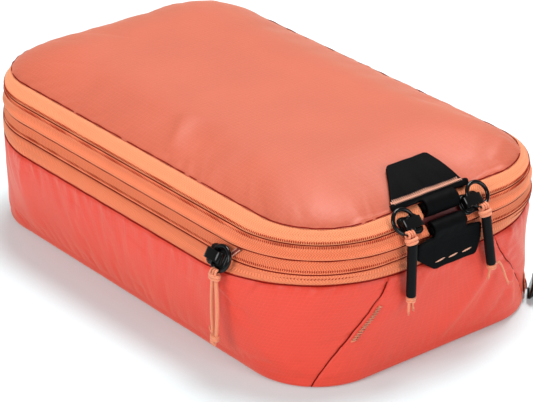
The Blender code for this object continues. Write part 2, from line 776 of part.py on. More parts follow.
def build():
    make_floor_and_divider()
    make_walls()
    make_seam_bindings()
    make_compression_zip()
    make_end_cover()
    make_gusset()
    make_main_zip()
    make_hinge_strip()
    make_low_zip()
    make_lid()
    make_upper_tab()
    make_rolls()
    make_lower_tab()
    make_main_pull("left", LEFT_SLIDER_X, 0.0)
    make_main_pull("right", RIGHT_SLIDER_X, RIGHT_TUBE_LEAN)
    make_compression_pull()
    make_low_slider()


for leftover in list(bpy.data.objects):
    bpy.data.objects.remove(leftover, do_unlink=True)
parts = bpy.data.collections.new("packing_cube")
cutters = bpy.data.collections.new("cutters")
bpy.context.scene.collection.children.link(parts)
bpy.context.scene.collection.children.link(cutters)
materials = make_materials()
build()
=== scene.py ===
"""The looks of a soft packing cube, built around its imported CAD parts, in metres with +Z up.

Each fabric piece is a fine grid between the rounded rectangles that the CAD parts follow at each height.
The walls and the lid are simulated as cloth, and then get the folds and the puckers that the real one shows.
The front end is at -Y, with the two main sliders and the black tabs. The compression slider is on the left.
"""

import math
from collections import namedtuple

import bmesh
import bpy
import numpy as np
from mathutils import Matrix, Vector
from mathutils.bvhtree import BVHTree


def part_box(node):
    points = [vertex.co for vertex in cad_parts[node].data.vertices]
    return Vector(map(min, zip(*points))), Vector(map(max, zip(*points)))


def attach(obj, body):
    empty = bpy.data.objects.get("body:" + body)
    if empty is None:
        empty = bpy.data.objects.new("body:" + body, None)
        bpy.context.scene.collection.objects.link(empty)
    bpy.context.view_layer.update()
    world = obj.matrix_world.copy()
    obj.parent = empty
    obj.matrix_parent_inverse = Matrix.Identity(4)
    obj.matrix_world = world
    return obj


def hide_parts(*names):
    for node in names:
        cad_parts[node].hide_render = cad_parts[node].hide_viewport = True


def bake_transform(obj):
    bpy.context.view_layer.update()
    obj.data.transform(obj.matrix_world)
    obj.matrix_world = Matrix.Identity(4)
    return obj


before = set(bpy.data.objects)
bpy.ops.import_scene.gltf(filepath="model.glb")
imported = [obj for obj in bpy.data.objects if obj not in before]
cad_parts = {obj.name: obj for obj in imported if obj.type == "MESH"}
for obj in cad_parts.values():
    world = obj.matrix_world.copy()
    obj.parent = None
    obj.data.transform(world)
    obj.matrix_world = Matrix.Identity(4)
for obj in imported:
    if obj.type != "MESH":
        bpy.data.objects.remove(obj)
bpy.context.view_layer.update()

MM = 0.001
UP = Vector((0, 0, 1))
Loop = namedtuple("Loop", "half_x half_y corner z shift_y")

# Heights at which the CAD parts give the shape of the bag
FOOT_HEIGHT = 6.5 * MM
WALL_HEIGHTS = [20.7 * MM, 34.9 * MM, 49.1 * MM]
WALL_TOP_HEIGHT = 50.2 * MM
LOWER_TAPE_EDGE_HEIGHT = 55.168 * MM
UPPER_TAPE_EDGE_HEIGHT = 56.068 * MM
HIDDEN_EDGE_HEIGHT = 63.4 * MM
LIP_HEIGHT = 64.8 * MM
COLLAR_EDGE_HEIGHT = 71.756 * MM
LID_EDGE_HEIGHT = 72.4835 * MM
LID_SEAM_HEIGHT = 76.25 * MM

# How near a CAD point has to be to a level's height, or to its front edge
LEVEL_TOLERANCE = 0.03 * MM
EDGE_TOLERANCE = 0.002 * MM
LEAST_CORNER = 4 * MM

# The diagonal corner seams, by the angle round the corner
SEAM_ANGLE_TOP = 7.0
SEAM_ANGLE_FLOOR = 44.0
SEAM_CURVE = 1.4

# Stations go round the bag as the hours of a clock
STATIONS_ROUND = 12

# The crown of the lid: how high it rises inside its seam, and how far in the slope runs
LID_RISE = 10.0 * MM
LID_SLOPE_WIDTH = 38.0 * MM

NYLON_THICKNESS = 0.35 * MM
TAPE_THICKNESS = 0.55 * MM
BEVEL_STEPS = 3

# Cloth is simulated at this many times its size, for this many frames
CLOTH_SCALE = 10
CLOTH_FRAMES = 22

# The main zip: half its open mouth, the rounding of its tapes beside it, and half the run without teeth
MOUTH_HALF = 10.4 * MM
END_ROUNDING = 3.6 * MM
TEETH_HALF = MOUTH_HALF + END_ROUNDING

# The camera, as a direction and a distance from the middle of the base
AZIMUTH = math.radians(-38.976)
ELEVATION = math.radians(26.383)
CAMERA_DISTANCE = 1.24935
CAMERA_RIGHT = 3.77 * MM
CAMERA_UP = 24.34 * MM
CAMERA_LENS = 175.6
SENSOR = 36.0

# Colours, in sRGB
CORAL = (222, 64, 44)
ORANGE = (252, 124, 78)
# A paler copy of the tape's orange for the main zip's upper tape: painted light, as that tape faces up to the overhead
# light
LIT_TAPE_ORANGE = (246, 140, 92)
THREAD_ORANGE = (182, 52, 28)
# A darker orange for the coils: painted shade, so that the gap between a zip's tapes reads dark
COIL_SHADE_ORANGE = (190, 62, 36)
# The lid's copy of the coral nylon, less red and less saturated: painted light for the top that faces the overhead
# light
LIT_LID_CORAL = (186, 88, 63)
# A dark red for thin lines of painted shade in the seams, under the lip, at the corners and where each zip's tapes meet
SHADE_LINE_RED = (140, 20, 10)
PEACH = (250, 146, 104)
DARK_RED = (150, 28, 26)
PINK_THREAD = (255, 176, 146)
# A very dark red for the sheet inside the zip's mouth: painted shade for the opening
MOUTH_SHADE_RED = (92, 12, 16)
BLACK = (9, 9, 10)

# Cloth pieces that later pieces lie on, by name
PIECES = {}


# --- Rounded rectangles, as the CAD parts have them ---


def level(height, *names):
    """The rounded rectangle that the outside of some CAD nodes follows at a height."""
    points = [v.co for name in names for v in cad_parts[name].data.vertices]
    near = [p for p in points if abs(p.z - height) < LEVEL_TOLERANCE]
    half_x = max(abs(p.x) for p in near)
    front = min(p.y for p in near)
    rear = max(p.y for p in near)
    straight = max(abs(p.x) for p in near if p.y < front + EDGE_TOLERANCE)
    return Loop(half_x, (rear - front) / 2, half_x - straight, height, (rear + front) / 2)


def inset(loop, by, z=None):
    """A loop drawn in by a distance, or out if it is negative, and moved to a height if one is given."""
    corner = max(loop.corner - by, LEAST_CORNER)
    height = loop.z if z is None else z
    return Loop(loop.half_x - by, loop.half_y - by, corner, height, loop.shift_y)


def between(first, second, share):
    return Loop(*[a + (b - a) * share for a, b in zip(first, second)])


def around(loop, station):
    """The point of a loop at a station, and the outward direction there.

    Stations go as a clock's 12 hours, from the middle of the front end, with the corners at 1-2, 4-5, 7-8
    and 10-11.
    """
    station %= STATIONS_ROUND
    quarter = int(station // 3)
    local = station - 3 * quarter
    flat_x = loop.half_x - loop.corner
    flat_y = loop.half_y - loop.corner
    lead, trail = (flat_x, flat_y) if quarter % 2 == 0 else (flat_y, flat_x)
    if local <= 1:
        place = Vector((lead * local, -(trail + loop.corner), 0))
        out = Vector((0, -1, 0))
    elif local <= 2:
        angle = (local - 1) * math.pi / 2
        out = Vector((math.sin(angle), -math.cos(angle), 0))
        place = Vector((lead, -trail, 0)) + out * loop.corner
    else:
        place = Vector((lead + loop.corner, -trail * (3 - local), 0))
        out = Vector((1, 0, 0))
    turn = Matrix.Rotation(quarter * math.pi / 2, 3, "Z")
    return turn @ place + Vector((0, loop.shift_y, loop.z)), turn @ out


def even_stations(loop, start, end, count):
    """Stations from start to end that are the same distance apart along a loop."""
    fine = np.linspace(start, end, 600)
    points = np.array([around(loop, s)[0] for s in fine])
    steps = np.linalg.norm(np.diff(points, axis=0), axis=1)
    run = np.concatenate([[0], np.cumsum(steps)])
    return np.interp(np.linspace(0, run[-1], count + 1), run, fine)


def length_round(loop, start=0.0, end=STATIONS_ROUND):
    points = np.array([around(loop, s)[0] for s in np.linspace(start, end, 900)])
    return float(np.linalg.norm(np.diff(points, axis=0), axis=1).sum())


def seam_station(height):
    """Where a corner's diagonal seam is at a height, for the corner at 1-2."""
    rise = max(0.0, 1 - height / WALL_TOP_HEIGHT)
    angle = SEAM_ANGLE_TOP + (SEAM_ANGLE_FLOOR - SEAM_ANGLE_TOP) * rise**SEAM_CURVE
    return 1 + angle / 90


WALLS = ("front_end_panel", "rear_end_panel", "left_side_panel", "right_side_panel")

# Where each zip's tapes meet and where the walls stop, as shares of the way between two edges of the CAD tapes.
# Past 1 the place is beyond the second edge.
COMPRESSION_SHARE = 2.0
MAIN_LINE_SHARE = 0.78
WALL_TOP_SHARE = 0.2

LOWER_TAPE_EDGE = level(LOWER_TAPE_EDGE_HEIGHT, "compression_zip_lower_tape")
WALL_TOP = between(level(WALL_TOP_HEIGHT, "compression_zip_lower_tape"), LOWER_TAPE_EDGE, WALL_TOP_SHARE)
FOOT = level(FOOT_HEIGHT, *WALLS)
KNEE = level(WALL_HEIGHTS[0], *WALLS)
UPPER_TAPE_EDGE = level(UPPER_TAPE_EDGE_HEIGHT, "compression_zip_upper_tape")
HIDDEN_EDGE = level(HIDDEN_EDGE_HEIGHT, "compression_zip_upper_tape")
COMPRESSION = between(LOWER_TAPE_EDGE, UPPER_TAPE_EDGE, COMPRESSION_SHARE)
LIP = level(LIP_HEIGHT, "main_zip_lower_tape")
COLLAR_EDGE = level(COLLAR_EDGE_HEIGHT, "main_zip_lower_tape")
LID_EDGE = level(LID_EDGE_HEIGHT, "main_zip_upper_tape")
MAIN_LINE = between(LIP, COLLAR_EDGE, MAIN_LINE_SHARE)
LID_SEAM = level(LID_SEAM_HEIGHT, "main_zip_upper_tape")


def wall_at(height):
    """The outside of the walls at a height near the floor."""
    return between(FOOT, KNEE, (height - FOOT.z) / (KNEE.z - FOOT.z))


FLOOR_EDGE = wall_at(0)
WALL_LOOPS = [
    inset(FLOOR_EDGE, 2.4 * MM, 0.05 * MM),
    inset(FLOOR_EDGE, 1.0 * MM, 0.35 * MM),
    inset(FLOOR_EDGE, 0.2 * MM, 1.3 * MM),
    wall_at(3.2 * MM),
    FOOT,
    *[level(h, *WALLS) for h in WALL_HEIGHTS[:-1]],
    inset(WALL_TOP, 0.1 * MM, WALL_TOP.z - 1.0 * MM),
]


def through(loops, share):
    """The loop at a share of the way up a stack of loops, on a smooth curve through them all."""
    widths = np.array([loop.half_x for loop in loops])
    heights = np.array([loop.z for loop in loops])
    run = np.concatenate([[0], np.cumsum(np.hypot(np.diff(widths), np.diff(heights)))])
    place = share * run[-1]
    k = int(np.clip(np.searchsorted(run, place) - 1, 0, len(loops) - 2))
    t = (place - run[k]) / (run[k + 1] - run[k])
    around_k = [loops[max(k - 1, 0)], loops[k], loops[k + 1], loops[min(k + 2, len(loops) - 1)]]
    found = []
    for before, first, second, after in zip(*around_k):
        lean_in, lean_out = (second - before) / 2, (after - first) / 2
        found.append(
            (2 * t**3 - 3 * t**2 + 1) * first
            + (t**3 - 2 * t**2 + t) * lean_in
            + (3 * t**2 - 2 * t**3) * second
            + (t**3 - t**2) * lean_out
        )
    return Loop(*found)


# --- Meshes ---


class Shape:
    """Points and faces gathered for one mesh, with a map of the metres along and across the cloth."""

    def __init__(self):
        self.points = []
        self.faces = []
        self.corners = []

    def grid(self, rows, along, across, closed=False):
        """Rows of points. along and across hold each point's place on the cloth, in metres."""
        count = len(rows[0])
        first = len(self.points)
        for row in rows:
            self.points.extend(tuple(p) for p in row)
        for r in range(len(rows) - 1):
            for c in range(count if closed else count - 1):
                n = (c + 1) % count
                low = first + r * count
                high = low + count
                self.faces.append((low + c, low + n, high + n, high + c))
                right = along[r][c] + (along[r][c] - along[r][c - 1]) if closed and n == 0 else along[r][n]
                self.corners += [
                    (along[r][c], across[r][c]),
                    (right, across[r][n]),
                    (right, across[r + 1][n]),
                    (along[r][c], across[r + 1][c]),
                ]

    def tube(self, path, radius, sides=10, closed=False, tip=None):
        """A round cord along a path. radius is one number or one for each point, and tip that of its ends."""
        path = [Vector(p) for p in path]
        count = len(path)
        radii = [radius] * count if np.isscalar(radius) else list(radius)
        if tip is not None:
            radii[0] = radii[-1] = tip
        side = None
        rows, along, across = [], [], []
        run = 0.0
        for k, point in enumerate(path):
            if closed:
                ahead = path[(k + 1) % count] - path[k - 1]
            else:
                ahead = path[min(k + 1, count - 1)] - path[max(k - 1, 0)]
            ahead.normalize()
            if side is None:
                side = ahead.orthogonal().normalized()
            side = (side - ahead * side.dot(ahead)).normalized()
            other = ahead.cross(side)
            if k:
                run += (point - path[k - 1]).length
            ring = []
            for s in range(sides):
                angle = 2 * math.pi * s / sides
                ring.append(point + (side * math.cos(angle) + other * math.sin(angle)) * radii[k])
            rows.append(ring)
            along.append([2 * math.pi * max(radii) * s / sides for s in range(sides)])
            across.append([run] * sides)
        first = len(self.points)
        if closed:
            rows.append(rows[0])
            along.append(along[0])
            across.append([run + (path[0] - path[-1]).length] * sides)
        self.grid(rows, along, across, closed=True)
        if closed:
            last = first + count * sides
            for f, face in enumerate(self.faces):
                self.faces[f] = tuple(v - count * sides if last <= v < last + sides else v for v in face)
            del self.points[last:]
            return
        last = first + (count - 1) * sides
        self.cap(tuple(first + s for s in reversed(range(sides))))
        self.cap(tuple(last + s for s in range(sides)))

    def cap(self, face):
        """A face that has no place on the cloth."""
        self.faces.append(face)
        self.corners += [(0.0, 0.0)] * len(face)

    def lump(self, centre, along, up, normal, size):
        """A stitch: a small long dome, in the directions given, of half length, half width and height."""
        first = len(self.points)
        long, wide, high = size
        crown = 0.62
        outline = [(1, 0), (0.6, 0.8), (-0.6, 0.8), (-1, 0), (-0.6, -0.8), (0.6, -0.8)]
        sink = normal * 0.12 * MM
        for a, b in outline:
            self.points.append(tuple(centre + along * long * a + up * wide * b - sink))
        for a, b in outline:
            self.points.append(tuple(centre + along * long * a * crown + up * wide * b * crown + normal * high))
        count = len(outline)
        for s in range(count):
            n = (s + 1) % count
            self.cap((first + s, first + n, first + count + n, first + count + s))
        self.cap(tuple(first + count + s for s in range(count)))
        self.cap(tuple(first + s for s in reversed(range(count))))

    def made(self, name, material, body, slot, replaces=(), thickness=0.0):
        mesh = bpy.data.meshes.new(name)
        mesh.from_pydata(self.points, [], self.faces)
        runs = mesh.uv_layers.new(name="run")
        runs.data.foreach_set("uv", np.array(self.corners, np.float32).ravel())
        mesh.validate()
        return finished(mesh, name, material, body, replaces, thickness)


def finished(mesh, name, material, body, replaces=(), thickness=0.0):
    """An object for a mesh, with its material, its body if it has just one, and the CAD nodes it stands for."""
    mesh.materials.clear()
    mesh.materials.append(material)
    thing = bpy.data.objects.new(name, mesh)
    bpy.context.scene.collection.objects.link(thing)
    mesh.shade_smooth()
    if thickness:
        skin = thing.modifiers.new("thickness", "SOLIDIFY")
        skin.thickness = thickness
        skin.offset = -1
    if body:
        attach(thing, body)
    if replaces:
        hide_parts(*replaces)
    return thing


def solid(name, parts, material, body, replaces=()):
    """One object of several closed bmesh parts."""
    whole = bmesh.new()
    for part in parts:
        piece = bpy.data.meshes.new("part")
        part.to_mesh(piece)
        part.free()
        whole.from_mesh(piece)
        bpy.data.meshes.remove(piece)
    mesh = bpy.data.meshes.new(name)
    whole.to_mesh(mesh)
    whole.free()
    thing = finished(mesh, name, material, body, replaces)
    mesh.set_sharp_from_angle(angle=math.radians(50))
    return thing


def rounded_box(place, low, high, round_by):
    """A box between two corners of a frame, with rounded edges."""
    part = bmesh.new()
    low, high = Vector(low), Vector(high)
    shape = Matrix.Translation((low + high) / 2) @ Matrix.Diagonal((*(high - low), 1))
    bmesh.ops.create_cube(part, size=1, matrix=shape)
    bmesh.ops.bevel(
        part,
        geom=part.edges[:],
        offset=round_by,
        segments=BEVEL_STEPS,
        profile=0.5,
        affect="EDGES",
        clamp_overlap=True,
    )
    bmesh.ops.transform(part, matrix=place, verts=part.verts)
    return part


def rounded_plate(place, outline, low, high, round_by):
    """A plate with an outline of points in a frame's X and Y, and rounded rims."""
    part = bmesh.new()
    face = part.faces.new([part.verts.new((x, y, low)) for x, y in outline])
    made = bmesh.ops.extrude_face_region(part, geom=[face])
    moved = [v for v in made["geom"] if isinstance(v, bmesh.types.BMVert)]
    bmesh.ops.translate(part, verts=moved, vec=(0, 0, high - low))
    bmesh.ops.recalc_face_normals(part, faces=part.faces[:])
    rims = [e for e in part.edges if abs(e.verts[0].co.z - e.verts[1].co.z) < 1e-6]
    bmesh.ops.bevel(part, geom=rims, offset=round_by, segments=BEVEL_STEPS, profile=0.5, affect="EDGES")
    bmesh.ops.transform(part, matrix=place, verts=part.verts)
    return part


# --- Materials ---


def linear(value):
    """The linear share of light for an sRGB value from 0 to 255."""
    share = value / 255
    return share / 12.92 if share < 0.04045 else ((share + 0.055) / 1.055) ** 2.4


def colour(rgb, share=1.0):
    return (*[min(1.0, linear(c) * share) for c in rgb], 1.0)


class Finish:
    """A material whose nodes are added by short calls."""

    def __init__(self, name, **settings):
        self.material = bpy.data.materials.new(name)
        self.material.use_nodes = True
        self.tree = self.material.node_tree
        self.shader = self.tree.nodes["Principled BSDF"]
        for key, value in settings.items():
            self.shader.inputs[key.replace("_", " ")].default_value = value

    def node(self, kind, inputs, **settings):
        made = self.tree.nodes.new(kind)
        for key, value in settings.items():
            setattr(made, key, value)
        for key, value in inputs.items():
            if isinstance(value, bpy.types.NodeSocket):
                self.tree.links.new(value, made.inputs[key])
            else:
                made.inputs[key].default_value = value
        return made

    def maths(self, operation, first, second=0.0, third=0.0):
        return self.node("ShaderNodeMath", {0: first, 1: second, 2: third}, operation=operation).outputs[0]

    def run(self):
        """Metres along and across the cloth."""
        source = self.node("ShaderNodeUVMap", {}, uv_map="run")
        split = self.node("ShaderNodeSeparateXYZ", {"Vector": source.outputs[0]})
        return split.outputs[0], split.outputs[1]

    def place(self):
        """The point itself, in the object's own space."""
        return self.node("ShaderNodeTexCoord", {}).outputs["Object"]

    def noise(self, vector, scale, detail=2.0, roughness=0.5):
        inputs = {"Vector": vector, "Scale": scale, "Detail": detail, "Roughness": roughness}
        return self.node("ShaderNodeTexNoise", inputs).outputs["Fac"]

    def wave(self, value, period):
        """A sine of a length, from 0 to 1."""
        turned = self.maths("MULTIPLY", value, 2 * math.pi / period)
        return self.maths("MULTIPLY_ADD", self.maths("SINE", turned), 0.5, 0.5)

    def lines(self, value, period, width):
        """1 on thin lines a period apart and 0 between them."""
        phase = self.maths("FRACT", self.maths("DIVIDE", value, period))
        away = self.maths("ABSOLUTE", self.maths("SUBTRACT", phase, 0.5))
        return self.maths("GREATER_THAN", away, 0.5 - width / period / 2)

    def blend(self, factor, first, second):
        inputs = {"Factor": factor, 6: first, 7: second}
        return self.node("ShaderNodeMix", inputs, data_type="RGBA").outputs[2]

    def colour(self, socket):
        self.tree.links.new(socket, self.shader.inputs["Base Color"])

    def rough(self, value, low, high):
        spread = self.node("ShaderNodeMapRange", {"Value": value, "To Min": low, "To Max": high})
        self.tree.links.new(spread.outputs[0], self.shader.inputs["Roughness"])

    def bump(self, *layers):
        """Each layer is a height from 0 to 1 and how many metres deep it is."""
        normal = None
        for height, depth in layers:
            inputs = {"Height": height, "Distance": depth, "Strength": 1.0}
            if normal is not None:
                inputs["Normal"] = normal
            normal = self.node("ShaderNodeBump", inputs).outputs[0]
        self.tree.links.new(normal, self.shader.inputs["Normal"])


def nylon(name, rgb):
    """Thin satin nylon with a faint ripstop grid."""
    ripstop, line, yarn = 2.1 * MM, 0.3 * MM, 0.32 * MM
    made = Finish(name, Sheen_Weight=0.45, Sheen_Roughness=0.4, Sheen_Tint=colour((255, 190, 160)), IOR=1.46)
    along, across = made.run()
    weave = made.maths("MULTIPLY", made.wave(along, yarn), made.wave(across, yarn))
    grid = made.maths("MAXIMUM", made.lines(along, ripstop, line), made.lines(across, ripstop, line))
    clouds = made.noise(made.place(), 26, 3.0)
    crinkle = made.noise(made.place(), 420, 2.0)
    base = made.blend(clouds, colour(rgb, 0.9), colour(rgb, 1.1))
    made.colour(made.blend(made.maths("MULTIPLY", grid, 0.22), base, colour(rgb, 1.3)))
    made.rough(clouds, 0.44, 0.58)
    made.bump((crinkle, 0.10 * MM), (weave, 0.012 * MM), (grid, 0.02 * MM))
    return made.material


def tape(name, rgb):
    """Zip tape: a herringbone twill whose rows lean one way and then the other."""
    row_height, rib = 1.5 * MM, 1.2 * MM
    made = Finish(name, Sheen_Weight=0.5, Sheen_Roughness=0.5, Sheen_Tint=colour((255, 214, 170)))
    along, across = made.run()
    row = made.maths("DIVIDE", across, row_height)
    zigzag = made.maths("MULTIPLY", made.maths("PINGPONG", row, 1.0), row_height)
    twill = made.wave(made.maths("ADD", along, zigzag), rib)
    threads = made.wave(across, 0.3 * MM)
    clouds = made.noise(made.place(), 60, 2.0)
    base = made.blend(clouds, colour(rgb, 0.93), colour(rgb, 1.06))
    made.colour(made.blend(made.maths("MULTIPLY", twill, 0.7), base, colour(rgb, 0.5)))
    made.rough(clouds, 0.62, 0.78)
    made.bump((twill, 0.12 * MM), (threads, 0.02 * MM))
    return made.material


def thread(name, rgb, period=0.7 * MM, sheen=0.25):
    """Twisted or braided yarn, whose turns lean across it. Yarn with no sheen hardly shines at all."""
    shine = 0.5 if sheen else 0.05
    made = Finish(name, Sheen_Weight=sheen, Sheen_Roughness=0.5, Roughness=0.62, Specular_IOR_Level=shine)
    along, across = made.run()
    left = made.wave(made.maths("ADD", across, along), period)
    right = made.wave(made.maths("SUBTRACT", across, along), period)
    braid = made.maths("MAXIMUM", left, right)
    fuzz = made.noise(made.place(), 900, 2.0)
    base = made.blend(fuzz, colour(rgb, 0.85), colour(rgb, 1.1))
    # The grooves between the turns are painted darker: painted shade
    groove_shade = made.maths("SUBTRACT", 1.0, braid)
    made.colour(made.blend(made.maths("MULTIPLY", groove_shade, 0.7), base, colour(rgb, 0.5)))
    made.bump((braid, 0.12 * MM), (fuzz, 0.04 * MM))
    return made.material


def coated(name, rgb):
    """Black coated webbing: a fine pebble grain with a dull shine, worn a little paler in places."""
    made = Finish(name, IOR=1.45, Specular_IOR_Level=0.03)
    place = made.place()
    cells = made.node("ShaderNodeTexVoronoi", {"Vector": place, "Scale": 2600.0}).outputs["Distance"]
    wear = made.noise(place, 130, 4.0, 0.6)
    made.colour(made.blend(wear, colour(rgb, 0.7), colour(rgb, 1.7)))
    made.rough(wear, 0.46, 0.62)
    made.bump((cells, 0.05 * MM), (made.noise(place, 500, 2.0), 0.05 * MM))
    return made.material


def gloss(name, rgb):
    """Glossy black enamel on cast metal, with fine wear in its shine."""
    made = Finish(name, Coat_Weight=0.3, Coat_Roughness=0.06, IOR=1.45, Specular_IOR_Level=0.12)
    place = made.place()
    wear = made.noise(place, 700, 5.0, 0.65)
    made.colour(made.blend(wear, colour(rgb, 0.4), colour(rgb, 0.8)))
    made.rough(wear, 0.1, 0.26)
    made.bump((made.noise(place, 300, 2.0), 0.03 * MM))
    return made.material


def rubber(name, rgb):
    """Matt black rubber tubing with a faint bloom."""
    made = Finish(name, IOR=1.5, Specular_IOR_Level=0.1)
    place = made.place()
    bloom = made.noise(place, 160, 3.0)
    made.colour(made.blend(bloom, colour(rgb, 0.75), colour(rgb, 1.5)))
    made.rough(bloom, 0.5, 0.68)
    made.bump((made.noise(place, 1500, 2.0), 0.03 * MM))
    return made.material


def make_materials():
    return {
        "coral": nylon("coral_nylon", CORAL),
        # The same nylon as the walls with a washed-out colour, as painted light on the lid
        "lid": nylon("lid_coral_nylon_painted_light", LIT_LID_CORAL),
        # Dark red tubes that stand for the shade in seams and gaps: painted shade
        "seam": thread("dark_red_shade_line", SHADE_LINE_RED, 0.5 * MM, 0.0),
        # The dark sheet's nylon, as painted shade inside the mouth
        "inner_shade": nylon("dark_red_painted_shade", MOUTH_SHADE_RED),
        "orange": tape("orange_tape", ORANGE),
        # The paler copy of the tape, as painted light
        "pale": tape("painted_light_tape", LIT_TAPE_ORANGE),
        "coil": thread("orange_coil", COIL_SHADE_ORANGE, 0.5 * MM, 0.0),
        "stitch": thread("orange_thread", THREAD_ORANGE, 0.4 * MM, 0.0),
        "pink": thread("pink_thread", PINK_THREAD, 1.3 * MM),
        "peach": thread("peach_cord", PEACH),
        "binding": tape("red_binding", DARK_RED),
        "black": coated("black_coated_fabric", BLACK),
        "hardware": gloss("gloss_black", BLACK),
        "rubber": rubber("black_rubber", BLACK),
    }


# --- Camera and cords ---


def make_camera():
    """The camera, turned to face the bag, with the bag a little off the middle of its view."""
    back = Vector(
        (
            math.sin(AZIMUTH) * math.cos(ELEVATION),
            -math.cos(AZIMUTH) * math.cos(ELEVATION),
            math.sin(ELEVATION),
        )
    )
    right = Vector((math.cos(AZIMUTH), math.sin(AZIMUTH), 0))
    up = back.cross(right)
    data = bpy.data.cameras.new("camera")
    data.lens = CAMERA_LENS
    data.sensor_width = SENSOR
    camera = bpy.data.objects.new("camera", data)
    camera.location = right * CAMERA_RIGHT + up * CAMERA_UP + back * CAMERA_DISTANCE
    camera.rotation_euler = Matrix([right, up, back]).transposed().to_euler()
    bpy.context.scene.collection.objects.link(camera)
    bpy.context.scene.camera = camera


# The compression pull's cord, as its CAD strands have it, and how much of each strand is inside the knot
CORD_DIAMETER = 1.8 * MM
STRAND_X = -89.2 * MM
STRAND_TOP_Z = 48.0 * MM
STRAND_FOOT_Z = 22.0 * MM
STRAND_APART = 2.4 * MM
STRAND_IN_KNOT = 4.4 * MM
STRAND_BOW = [0.0, 0.35, 0.6, 0.7, 0.6, 0.3, 0.0]
STRAND_STEPS = 5
KNOT_TURNS = 2.6
KNOT_STEPS = 60


def strand_route(middle_y, side):
    """The route of one strand: down as its CAD cord has it, then on through the knot."""
    shares = np.linspace(0, len(STRAND_BOW) - 1, (len(STRAND_BOW) - 1) * STRAND_STEPS + 1)
    route = []
    for k in shares:
        out = np.interp(k, range(len(STRAND_BOW)), STRAND_BOW) * MM
        z = STRAND_TOP_Z + (STRAND_FOOT_Z - STRAND_TOP_Z) * k / (len(STRAND_BOW) - 1)
        route.append(Vector((STRAND_X, middle_y + side * (STRAND_APART / 2 + out), z)))
    for share in np.linspace(0, 1, STRAND_STEPS + 1)[1:]:
        beside = side * STRAND_APART / 2 * (1 - 0.5 * share)
        route.append(Vector((STRAND_X, middle_y + beside, STRAND_FOOT_Z - STRAND_IN_KNOT * share)))
    return route


def middle(node):
    """The middle of a CAD node's box."""
    low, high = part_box(node)
    return (low + high) / 2


def make_compression_cords():
    """Two strands that hang from the ring, and the barrel knot that joins them."""
    y = middle("compression_pull_knot").y
    knot_top = STRAND_FOOT_Z - 0.3 * MM
    knot = Shape()
    turns = []
    for k in range(KNOT_STEPS + 1):
        share = k / KNOT_STEPS
        angle = share * 2 * math.pi * KNOT_TURNS
        z = knot_top - (0.7 + 3.4 * share) * MM
        place = Vector((math.cos(angle) * 1.35 * MM, math.sin(angle) * 1.55 * MM, z))
        turns.append(Vector((STRAND_X, y, 0)) + place)
    knot.tube(turns, 0.82 * MM, sides=9, tip=0.3 * MM)
    stub = [Vector((STRAND_X, y + 0.3 * MM, knot_top - z * MM)) for z in (0.4, 2.0, 4.0, 5.4, 6.3)]
    knot.tube(stub, [1.0 * MM, 1.1 * MM, 1.0 * MM, 0.95 * MM, 0.8 * MM], sides=9)
    loose = [(0.4, 1.2, -1.0), (0.1, 2.4, -0.4), (0.0, 3.4, 0.8), (0.1, 3.9, 2.2)]
    route = [Vector((STRAND_X + a * MM, y + b * MM, knot_top + c * MM)) for a, b, c in loose]
    knot.tube(route, [0.5 * MM, 0.5 * MM, 0.42 * MM, 0.3 * MM], sides=7)
    body, peach = "compression_pull", materials["peach"]
    knot_piece = knot.made(f"{body}_barrel_knot", peach, body, "peach_cord", [f"{body}_knot"])
    for name, side in (("front", -1), ("rear", 1)):
        route = strand_route(y, side)
        shape = Shape()
        shape.tube(route, CORD_DIAMETER / 2, sides=12)
        piece = shape.made(f"{name}_cord_strand", peach, body, "peach_cord", [f"{body}_{name}_strand"])


# --- Cloth ---


def settle(points, faces, pins, pressure, growth, bending, cap):
    """Lets a mesh move as cloth, and gives its points back, none of them further than cap from its start."""
    start = np.array(points, float)
    mesh = bpy.data.meshes.new("cloth")
    mesh.from_pydata([tuple(p) for p in start * CLOTH_SCALE], [], faces)
    thing = bpy.data.objects.new("cloth", mesh)
    bpy.context.scene.collection.objects.link(thing)
    group = thing.vertex_groups.new(name="pinned")
    for index, weight in enumerate(pins):
        if weight:
            group.add([index], weight, "REPLACE")
    cloth = thing.modifiers.new("cloth", "CLOTH")
    cloth.settings.vertex_group_mass = "pinned"
    cloth.settings.quality = 5
    cloth.settings.mass = 0.2
    cloth.settings.bending_stiffness = bending
    cloth.settings.shrink_min = -growth
    cloth.settings.use_pressure = True
    cloth.settings.uniform_pressure_force = pressure
    cloth.settings.effector_weights.gravity = 0.0
    cloth.collision_settings.use_collision = False
    cloth.point_cache.frame_start = 1
    cloth.point_cache.frame_end = CLOTH_FRAMES
    scene = bpy.context.scene
    for step in range(1, CLOTH_FRAMES + 1):
        scene.frame_set(step)
    moved = thing.evaluated_get(bpy.context.evaluated_depsgraph_get()).data
    found = np.zeros(len(start) * 3, np.float32)
    moved.vertices.foreach_get("co", found)
    found = found.reshape(-1, 3).astype(float) / CLOTH_SCALE
    bpy.data.objects.remove(thing)
    bpy.data.meshes.remove(mesh)
    scene.frame_set(1)
    shift = found - start
    far = np.maximum(np.linalg.norm(shift, axis=1, keepdims=True), 1e-9)
    return start + shift * np.minimum(1.0, cap * np.tanh(far / cap) / far)


def refine(points, closed):
    """A grid with twice as many rows and columns, on a smooth surface through the same points."""
    for axis, wraps in ((0, False), (1, closed)):
        rows = np.moveaxis(points, axis, 0)
        if wraps:
            near = rows + np.roll(rows, -1, 0)
            far = np.roll(rows, 1, 0) + np.roll(rows, -2, 0)
            made = np.stack([rows, (9 * near - far) / 16], axis=1).reshape(-1, *rows.shape[1:])
        else:
            ends = np.concatenate([[2 * rows[0] - rows[1]], rows, [2 * rows[-1] - rows[-2]]])
            halves = (9 * (ends[1:-2] + ends[2:-1]) - ends[:-3] - ends[3:]) / 16
            made = np.empty((2 * len(rows) - 1, *rows.shape[1:]))
            made[0::2], made[1::2] = rows, halves
        points = np.moveaxis(made, 0, axis)
    return points


